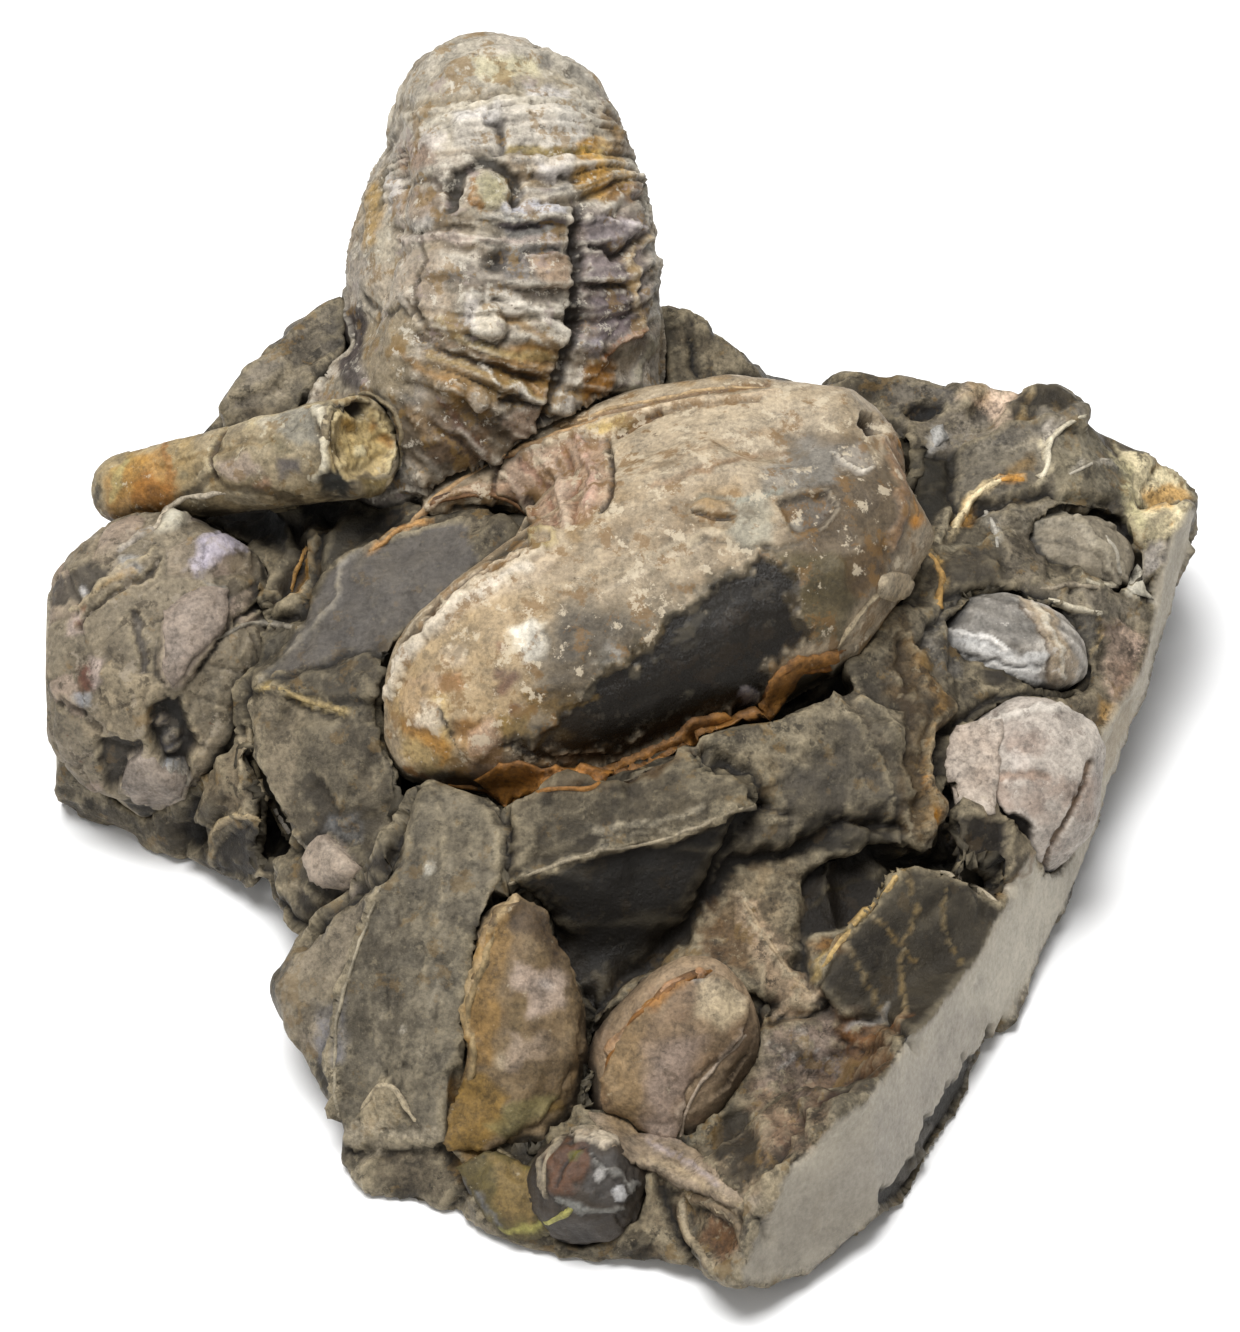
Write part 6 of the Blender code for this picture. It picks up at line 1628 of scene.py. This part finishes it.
class Trimmings:
    """Thin bits of shell, laid on the finished skins through the picture plane."""

    def __init__(self, skins):
        graph = bpy.context.evaluated_depsgraph_get()
        self.trees = [BVHTree.FromObject(skin, graph) for skin in skins]
        self.corners, self.faces, self.paint, self.gloss = [], [], [], []

    def at(self, across, down):
        """The place on the skins under a picture dot, and the way the skin faces."""
        ray = -TOWARDS_EYE + PICTURE_RIGHT * (across - PICTURE_MIDDLE[0]) / FOCUS
        ray = ray + PICTURE_UP * (PICTURE_MIDDLE[1] - down) / FOCUS
        ray /= np.linalg.norm(ray)
        nearest = None
        for tree in self.trees:
            place, normal, _, distance = tree.ray_cast(Vector(EYE * MM), Vector(ray))
            if place is not None and (nearest is None or distance < nearest[2]):
                nearest = (np.array(place) / MM, np.array(normal), distance)
        return nearest

    def add(self, corners, faces, tones):
        """Keeps one more bit."""
        start = len(self.corners)
        self.corners += [tuple(corner) for corner in corners]
        self.faces += [tuple(start + i for i in face) for face in faces]
        self.paint += list(tones)
        self.gloss += [TRIMMINGS_GLOSS] * len(corners)

    def fin(self, dots, height, tone, second, lean=0.0):
        """A thin upright edge of shell along a line of dots, which leans left by a share of its height."""
        dots = np.array(dots, float)
        for _ in range(2):  # its corners are cut, and cut again
            near, far = dots[:-1] * 0.75 + dots[1:] * 0.25, dots[:-1] * 0.25 + dots[1:] * 0.75
            dots = np.concatenate((dots[:1], np.stack((near, far), 1).reshape(-1, 2), dots[-1:]))
        lengths = np.concatenate(([0], np.cumsum(np.sqrt((np.diff(dots, axis=0) ** 2).sum(1)))))
        steps = np.arange(0, lengths[-1], FIN_STEP)
        found = [self.at(*(np.interp(step, lengths, dots[:, i]) for i in range(2))) for step in steps]
        run = []
        for hit in [*found, None]:
            if hit is None or (run and math.dist(hit[0], run[-1][0]) > FIN_GAP):
                if len(run) > FIN_SHORTEST:
                    self.edge(run, height, tone, second, lean)
                run = []
            if hit is not None:
                run.append(hit)

    def edge(self, run, height, tone, second, lean):
        """The thin edge over one unbroken run of places."""
        places = np.array([hit[0] for hit in run])
        normals = np.array([hit[1] for hit in run])
        for _ in range(4):
            normals[1:-1] = (normals[:-2] + normals[1:-1] + normals[2:]) / 3
            places[1:-1] = (places[:-2] + places[1:-1] * 2 + places[2:]) / 4
        side = np.cross(normals, np.gradient(places, axis=0))
        side /= np.maximum(np.linalg.norm(side, axis=1), 1e-6)[:, None]
        share = np.linspace(0, 1, len(places))
        rise = height * np.minimum(1, 4 * np.minimum(share, 1 - share))
        rise *= 0.6 + 0.7 * ripple(places, 1.8, 91)
        places = places + side * (0.35 * ripple(places, 2.4, 92))[:, None]
        half = side * (0.25 + 0.2 * height)
        top = places + (normals + side * lean) * rise[:, None]
        foot = places - normals * 0.8
        rows = np.stack((foot - half * 2, top - half * 0.6, top + half * 0.6, foot + half * 2), 1)
        faces = [(3, 2, 1, 0), tuple(4 * (len(places) - 1) + k for k in range(4))]
        for i in range(1, len(places)):
            faces += [(4 * i + k - 4, 4 * i + k - 3, 4 * i + k + 1, 4 * i + k) for k in range(3)]
        # painted shade: the foot takes the darker second tone
        tones = [linear(each) for each in (second, tone, tone, second)]
        self.add(rows.reshape(-1, 3), faces, tones * len(places))

    def plate(self, dots, rise, tone, second, dome):
        """A plate with that outline, raised over the skin, domed in its middle and ragged at its rim."""
        outline = []
        for start, end in zip(dots, dots[1:] + dots[:1]):
            count = max(1, int(math.dist(start, end) / PLATE_STEP))
            outline += [tuple(np.array(start) + (np.array(end) - start) * k / count) for k in range(count)]
        flat_places = np.c_[np.array(outline), np.zeros(len(outline))]
        swerve = swaying(flat_places, 15, 97) * 3.5
        swerve += (hashed(np.floor(flat_places), 94, 2) - 0.5) * 2.6
        outline = [tuple(dot) for dot in flat_places[:, :2] + swerve]
        ring = outline + outline[:1]
        box = zip(np.min(outline, 0), np.max(outline, 0))
        spans = [np.arange(low, high, PLATE_STEP) for low, high in box]
        grid = np.stack(np.meshgrid(*spans), -1).reshape(-1, 2)
        grid = grid + hashed(np.c_[np.floor(grid), grid[:, 0] * 0], 93, 2) * PLATE_STEP * 0.5
        grid = grid[inside(grid, outline) & (to_line(grid, ring) > PLATE_STEP * 0.6)]
        rim = len(outline)
        dots = np.concatenate((np.array(outline), grid))
        triangles = delaunay_2d_cdt([Vector(dot) for dot in dots], [], [list(range(rim))], 1, 1e-4)[2]
        found = [self.at(*dot) for dot in dots]
        away = np.array([hit[2] for hit in found]) / MM
        near = np.clip(away, np.percentile(away, 25) - 1.5, np.percentile(away, 75) + 1.5)
        places = EYE + (np.array([hit[0] for hit in found]) - EYE) * (near / away)[:, None]
        normal = np.median([hit[1] for hit in found], 0)
        normal /= np.linalg.norm(normal)
        middle = places.mean(0)
        depth = (places - middle) @ normal
        depth = np.clip(depth, np.percentile(depth, 15) - 0.6, np.percentile(depth, 85) + 0.6)
        basis = np.c_[places - middle - ((places - middle) @ normal)[:, None] * normal, np.ones(len(places))]
        plane = basis @ np.linalg.lstsq(basis, depth, rcond=None)[0]
        inward = to_line(dots, ring)
        inward /= max(1.0, inward.max())
        level = depth * (1 - PLATE_FLATNESS) + plane * PLATE_FLATNESS + rise + dome * (1 - (1 - inward) ** 2)
        level += 0.35 * rough(places, 2.5, 95)
        along = places - ((places - middle) @ normal)[:, None] * normal
        top = along + normal * level[:, None]
        under = top[:rim] - normal * (rise + 1.6)
        shade = 0.5 + 0.5 * rough(places, 3, 96)
        tones = linear(tone) + np.clip(shade, 0, 1)[:, None] * (linear(second) - linear(tone))
        sway = swaying(places, 2.6, 3)
        for mark in PLATE_MARKS:
            weight = weight_of(mark, dots + sway * mark.ragged) * mark.strength
            tones = tones + weight[:, None] * (linear(mark.tone) - tones)
        corners = np.concatenate((top, under))
        faces = [tuple(triangle) for triangle in triangles]
        faces += [(k, len(dots) + k, len(dots) + (k + 1) % rim, (k + 1) % rim) for k in range(rim)]
        # painted shade: the plate's sides darken to half its tone at their foot
        self.add(corners, faces, [*tones, *(tones[:rim] * 0.5)])

    def finished(self, name, material, slot):
        """All the bits in one piece, faced outwards."""
        paint, patchy = np.array(self.paint), np.ones(len(self.paint))
        piece = new_mesh(name, self.corners, self.faces, paint, self.gloss, patchy, material)
        turned = bmesh.new()
        turned.from_mesh(piece.data)
        bmesh.ops.recalc_face_normals(turned, faces=turned.faces)
        turned.to_mesh(piece.data)
        turned.free()
        return piece


# The thin plates of shell: outline, rise in mm, tone, second tone and dome in mm.
PLATES = [
    ([(598, 766), (640, 753), (670, 738), (692, 718), (724, 713), (752, 717), (762, 700), (776, 670),
      (800, 656), (836, 650), (838, 658), (804, 668), (786, 694), (770, 724), (740, 733), (706, 736),
      (684, 754), (640, 768), (606, 780)], 0.7, (176, 126, 70), (104, 70, 38), 0.2),
    ([(946, 748), (958, 728), (984, 716), (1004, 722), (1000, 770), (992, 812), (972, 818), (954, 806),
      (946, 780)], 0.6, (198, 187, 174), (172, 154, 138), 0.4),
    ([(1136, 566), (1146, 580), (1151, 600), (1138, 596), (1126, 586)], 0.4, (210, 204, 188), (170, 162, 144),
     0.2),
    ([(930, 430), (942, 426), (948, 440), (934, 446)], 0.5, (204, 202, 198), (160, 156, 148), 0.2),
    ([(498, 764), (520, 764), (560, 768), (598, 764), (614, 766), (604, 778), (592, 792), (572, 786),
      (552, 790), (532, 791), (516, 796), (506, 812), (500, 796), (488, 788), (476, 780)], 0.7,
     (182, 128, 68), (118, 78, 38), 0.3),
    ([(305, 858), (316, 842), (328, 837), (340, 845), (350, 854), (360, 872), (352, 888), (330, 886),
      (312, 878)], 1.4, (178, 164, 148), (146, 130, 114), 0.8),
    ([(498, 905), (520, 898), (545, 915), (562, 950), (580, 1000), (576, 1060), (556, 1100), (532, 1126),
      (486, 1150), (446, 1152), (450, 1112), (474, 1062), (460, 1012), (480, 962), (488, 930)], 0.3,
     (140, 121, 94), (106, 85, 58), 0.9),
    ([(590, 1112), (612, 1112), (640, 1132), (672, 1140), (704, 1162), (732, 1170), (766, 1206), (740, 1214),
      (712, 1196), (688, 1192), (640, 1166), (604, 1144)], 0.8, (166, 150, 130), (128, 110, 88), 0.4),
    ([(456, 1168), (486, 1150), (520, 1160), (548, 1190), (560, 1228), (520, 1240), (486, 1216)], 0.5,
     (116, 104, 64), (84, 72, 44), 0.8),
    ([(604, 1108), (602, 1078), (614, 1044), (632, 1016), (656, 996), (684, 980), (712, 972), (734, 984),
      (750, 1000), (742, 1034), (718, 1058), (692, 1084), (682, 1112), (676, 1142), (656, 1136), (630, 1122)],
     0.5, (152, 132, 106), (126, 102, 80), 1.0),
    ([(164, 640), (166, 614), (184, 597), (205, 586), (226, 590), (231, 612), (222, 634), (204, 650),
      (188, 668), (172, 688), (160, 668)], 0.6, (164, 150, 138), (144, 130, 116), 0.7),
    ([(122, 782), (132, 758), (150, 752), (164, 768), (184, 776), (184, 797), (158, 804), (134, 800)], 0.6,
     (160, 148, 136), (134, 122, 110), 0.6),
    ([(870, 578), (890, 572), (910, 578), (916, 588), (902, 600), (878, 598)], 0.7, (196, 182, 158),
     (150, 130, 100), 0.3),
]
# The marks on the plates.
PLATE_MARKS = [
    # the long brown shell
    area([(490, 925), (514, 910), (508, 950), (500, 990), (495, 1030), (490, 1062), (470, 1062), (460, 1010),
          (478, 955)], (148, 117, 72), 0.8, ragged=9),
    area([(510, 900), (545, 912), (568, 945), (560, 965), (530, 938), (512, 932)], (88, 70, 50), 0.8,
         ragged=9),
    area([(512, 972), (560, 965), (574, 990), (560, 1012), (530, 1016), (520, 990)], (178, 160, 145), 0.75,
         ragged=14),
    area([(502, 1035), (545, 1033), (552, 1050), (525, 1072), (505, 1062)], (164, 146, 128), 0.7, ragged=14),
    area([(504, 998), (526, 1000), (526, 1030), (508, 1030)], (126, 107, 78), 0.7, ragged=10),
    area([(540, 1015), (572, 1010), (572, 1060), (545, 1080), (535, 1050)], (138, 118, 92), 0.6, ragged=14),
    area([(452, 1100), (480, 1070), (512, 1098), (500, 1130), (470, 1160), (436, 1160)], (140, 111, 60), 0.85,
         ragged=9),
    area([(520, 1106), (560, 1092), (580, 1098), (545, 1120), (500, 1138), (488, 1122)], (136, 127, 88), 0.7,
         ragged=9),
    line([(502, 912), (480, 945), (474, 985), (460, 1006), (472, 1034)], 4, (180, 158, 120), 0.75),
    dab(545, 985, 9, (196, 184, 174), 0.7),
    dab(500, 1060, 10, (170, 156, 134), 0.7),
    # the tan shell
    area([(606, 1030), (640, 1000), (650, 1050), (640, 1140), (604, 1120)], (146, 122, 88), 0.6, soft=20,
         ragged=10),
    area([(650, 1050), (700, 1040), (690, 1080), (670, 1140), (640, 1140)], (164, 146, 134), 0.65, soft=20,
         ragged=10),
    area([(700, 972), (742, 988), (748, 1010), (722, 1030), (700, 1012)], (190, 174, 146), 0.8, soft=12),
    area([(636, 998), (676, 972), (694, 980), (660, 1002), (630, 1014)], (160, 112, 58), 0.8, ragged=9),
    area([(682, 966), (702, 958), (708, 974), (692, 984)], (138, 136, 130), 0.75),
    line([(750, 1030), (722, 1058), (700, 1080), (682, 1110), (676, 1150)], 5, (198, 180, 162), 0.7),
    line([(610, 1020), (603, 1050), (606, 1104)], 4, (112, 86, 58), 0.7),
    # the strip across the toe
    line([(648, 1148), (680, 1166), (716, 1184)], 4, (168, 156, 154), 0.7),
    line([(640, 1160), (690, 1182), (740, 1204)], 4, (182, 164, 136), 0.6),
    # the patch with algae
    area([(496, 1160), (526, 1158), (546, 1196), (534, 1224), (500, 1206)], (134, 112, 72), 0.75, ragged=10),
    line([(530, 1160), (550, 1196), (556, 1222)], 6, (112, 106, 40), 0.75, ragged=8),
    line([(462, 1182), (480, 1200), (500, 1222)], 6, (112, 114, 120), 0.6, ragged=8),
    line([(500, 1228), (540, 1226), (574, 1208)], 4, (164, 158, 96), 0.85),
]
# The upright edges of shell: line of dots, height in mm, top tone, foot tone and, if it isn't 0, lean. The
# darker foot tone is painted shade at the fin's foot.
FINS = [
    ([(436, 784), (470, 786), (492, 792), (506, 808), (516, 796), (560, 788), (592, 792), (608, 772)], 0.6,
     (150, 106, 58), (84, 56, 30)),
    ([(606, 772), (640, 759), (668, 746), (690, 724), (720, 720), (756, 725), (760, 704), (776, 672),
      (800, 660), (846, 652)], 0.8, (132, 90, 50), (70, 48, 30), -0.3),
    ([(790, 676), (815, 667), (842, 670)], 0.8, (156, 104, 52), (110, 74, 40)),
    ([(404, 532), (430, 502), (468, 476), (502, 455), (560, 432), (600, 418)], 0.5, (176, 146, 110),
     (112, 80, 52), 0.5),
    ([(560, 426), (600, 412), (660, 398), (720, 388), (770, 387)], 0.4, (186, 160, 124), (120, 88, 58), 0.5),
    ([(430, 506), (470, 493), (500, 496), (528, 512), (545, 526)], 0.7, (138, 104, 74), (82, 58, 42), 0.4),
    ([(838, 648), (850, 628), (866, 604), (884, 588), (912, 584)], 0.7, (186, 170, 142), (110, 86, 58)),
    ([(896, 436), (908, 470), (914, 500), (918, 518)], 0.6, (148, 114, 74), (90, 64, 40)),
    ([(252, 700), (250, 742), (262, 790), (276, 820), (298, 848)], 0.6, (162, 148, 122), (118, 104, 80)),
    ([(512, 906), (494, 930), (482, 970), (466, 1010), (480, 1058), (460, 1108), (442, 1150)], 1.1,
     (152, 132, 98), (108, 86, 58), -0.3),
    ([(712, 970), (676, 986), (642, 1010), (616, 1044), (602, 1080)], 0.7, (138, 96, 54), (104, 74, 44)),
    ([(682, 1198), (688, 1240), (714, 1270)], 0.9, (160, 146, 122), (112, 96, 74)),
    ([(690, 1202), (722, 1206), (742, 1226), (740, 1256)], 0.7, (132, 116, 94), (92, 76, 56)),
    ([(952, 534), (966, 508), (974, 496), (990, 484), (1004, 479)], 0.9, (232, 214, 176), (170, 140, 98)),
    ([(1000, 480), (1010, 478), (1024, 477)], 0.8, (222, 166, 96), (150, 108, 60)),
    ([(1088, 416), (1060, 426), (1046, 442), (1050, 464), (1040, 482)], 0.7, (226, 216, 192),
     (160, 148, 124)),
    ([(262, 688), (280, 687), (300, 700), (322, 708), (348, 712)], 0.45, (168, 148, 106), (104, 92, 70)),
    ([(370, 552), (395, 531), (428, 519)], 0.5, (188, 146, 98), (128, 92, 56)),
    ([(292, 592), (298, 566), (306, 545)], 0.8, (180, 140, 86), (112, 84, 52)),
    ([(273, 806), (288, 832), (300, 849)], 0.6, (228, 218, 202), (150, 140, 124)),
    ([(216, 640), (250, 620), (302, 628)], 0.5, (146, 138, 124), (84, 78, 68)),
    ([(205, 846), (214, 822), (240, 812), (266, 820), (292, 836)], 0.7, (178, 160, 128), (106, 92, 72)),
    ([(508, 884), (560, 863), (602, 850), (672, 839), (760, 800)], 0.3, (158, 146, 124), (84, 77, 64)),
    ([(905, 870), (870, 906), (850, 930), (822, 968)], 0.6, (194, 166, 116), (116, 94, 60)),
    ([(905, 870), (932, 867), (970, 884), (1003, 905)], 0.4, (176, 164, 142), (92, 84, 70)),
    ([(740, 890), (756, 925), (780, 960), (812, 998)], 0.4, (166, 147, 120), (124, 104, 80)),
    ([(918, 542), (930, 555), (942, 567), (943, 585), (937, 607)], 0.8, (194, 156, 100), (118, 90, 54)),
    ([(1048, 599), (1075, 607), (1106, 612)], 0.6, (210, 200, 178), (140, 128, 106)),
    ([(1080, 578), (1102, 586), (1126, 588)], 0.5, (200, 190, 168), (130, 120, 102)),
    ([(1070, 475), (1085, 466), (1100, 459), (1115, 459)], 0.3, (184, 176, 160), (124, 116, 102)),
    ([(986, 510), (998, 528), (996, 548)], 0.4, (190, 184, 172), (130, 122, 108)),
    ([(386, 872), (356, 950), (340, 1000), (332, 1060), (340, 1130)], 0.25, (160, 150, 130), (116, 108, 92)),
    ([(360, 1110), (386, 1072), (420, 1128)], 0.6, (180, 166, 140), (100, 90, 74)),
    ([(545, 1196), (541, 1168), (552, 1146), (566, 1132), (590, 1126), (612, 1132)], 0.5, (146, 134, 114),
     (92, 84, 72)),
    ([(752, 1030), (724, 1058), (702, 1080), (684, 1110), (678, 1150)], 0.4, (180, 163, 144),
     (140, 122, 102)),
    ([(500, 1228), (540, 1226), (574, 1208)], 0.9, (172, 166, 104), (120, 114, 56)),
    ([(1106, 535), (1116, 552), (1122, 578)], 0.5, (190, 182, 166), (140, 130, 112)),
    ([(1040, 588), (1090, 584), (1138, 598)], 0.6, (164, 152, 132), (104, 94, 78)),
    ([(152, 530), (166, 508), (186, 496), (226, 493)], 0.8, (196, 184, 164), (140, 126, 106), -0.3),
    ([(326, 440), (330, 410), (350, 393), (376, 393), (396, 410), (404, 440), (398, 474), (380, 494)], 0.5,
     (150, 136, 110), (96, 84, 66)),
]


def trimmings(skins):
    """The plates and upright edges of shell."""
    bits = Trimmings(skins)
    for plate in PLATES:
        bits.plate(*plate)
    for fin in FINS:
        bits.fin(*fin)
    material = painted("shell_trimmings", grain=0.22, grain_size=0.8, flake_size=1.6, flakes=0.12, patches=(
        (2.2, 0.58, 0.05, (92, 76, 56), 0.4), (1.6, 0.62, 0.05, (206, 194, 168), 0.35),
    ))
    bits.finished("shell_trimmings", material, "tan_shell")


# ---------------------------------------------------------------- floor, light and camera


FLOOR_SIZE = 6  # m
FLOOR_DROP = 0.0005  # m under the part, so that the two never share a face
SKY_STRENGTH = 0.36
LAMPS = [  # name, place in m, size in m and power in W
    ("key", (-0.12, -0.06, 0.9), 0.55, 13.0),
    ("fill", (-0.5, -0.8, 0.5), 0.8, 1.6),
]
LIT_PLACE = Vector((0, 0, 0.03))  # m
SENSOR = 36  # mm, the camera's


def stage():
    """The pale floor, the white sky and the lamps."""
    bpy.ops.mesh.primitive_plane_add(size=FLOOR_SIZE, location=(0, 0, -FLOOR_DROP))
    floor = bpy.context.object
    floor.name = "floor"
    pale = bpy.data.materials.new("pale_floor")
    pale.use_nodes = True
    shader = pale.node_tree.nodes["Principled BSDF"]
    shader.inputs["Base Color"].default_value = (0.9, 0.9, 0.9, 1)
    shader.inputs["Roughness"].default_value = 0.9
    floor.data.materials.append(pale)
    world = bpy.data.worlds.new("studio")
    world.use_nodes = True
    sky = world.node_tree.nodes["Background"]
    sky.inputs["Color"].default_value = (1, 1, 1, 1)
    sky.inputs["Strength"].default_value = SKY_STRENGTH
    bpy.context.scene.world = world
    bpy.context.scene.view_settings.view_transform = "Standard"
    for name, place, size, power in LAMPS:
        data = bpy.data.lights.new(name, "AREA")
        data.size = size
        data.energy = power
        lamp = bpy.data.objects.new(name, data)
        lamp.location = place
        lamp.rotation_euler = (LIT_PLACE - Vector(place)).to_track_quat("-Z", "Y").to_euler()
        bpy.context.scene.collection.objects.link(lamp)


def camera():
    """The eye of the picture plane."""
    data = bpy.data.cameras.new("camera")
    data.sensor_fit = "AUTO"
    data.sensor_width = SENSOR
    data.lens = SENSOR * FOCUS / max(PICTURE)
    data.clip_start = 0.01
    made = bpy.data.objects.new("camera", data)
    made.location = Vector(EYE * MM)
    made.rotation_euler = (-Vector(TOWARDS_EYE)).to_track_quat("-Z", "Y").to_euler()
    bpy.context.scene.collection.objects.link(made)
    bpy.context.scene.camera = made


camera()
stage()
skins = matrix() + standing_ammonite() + reclining_ammonite()
skins += straight_ammonite() + worn_ammonite() + smaller_shells()
trimmings(skins)
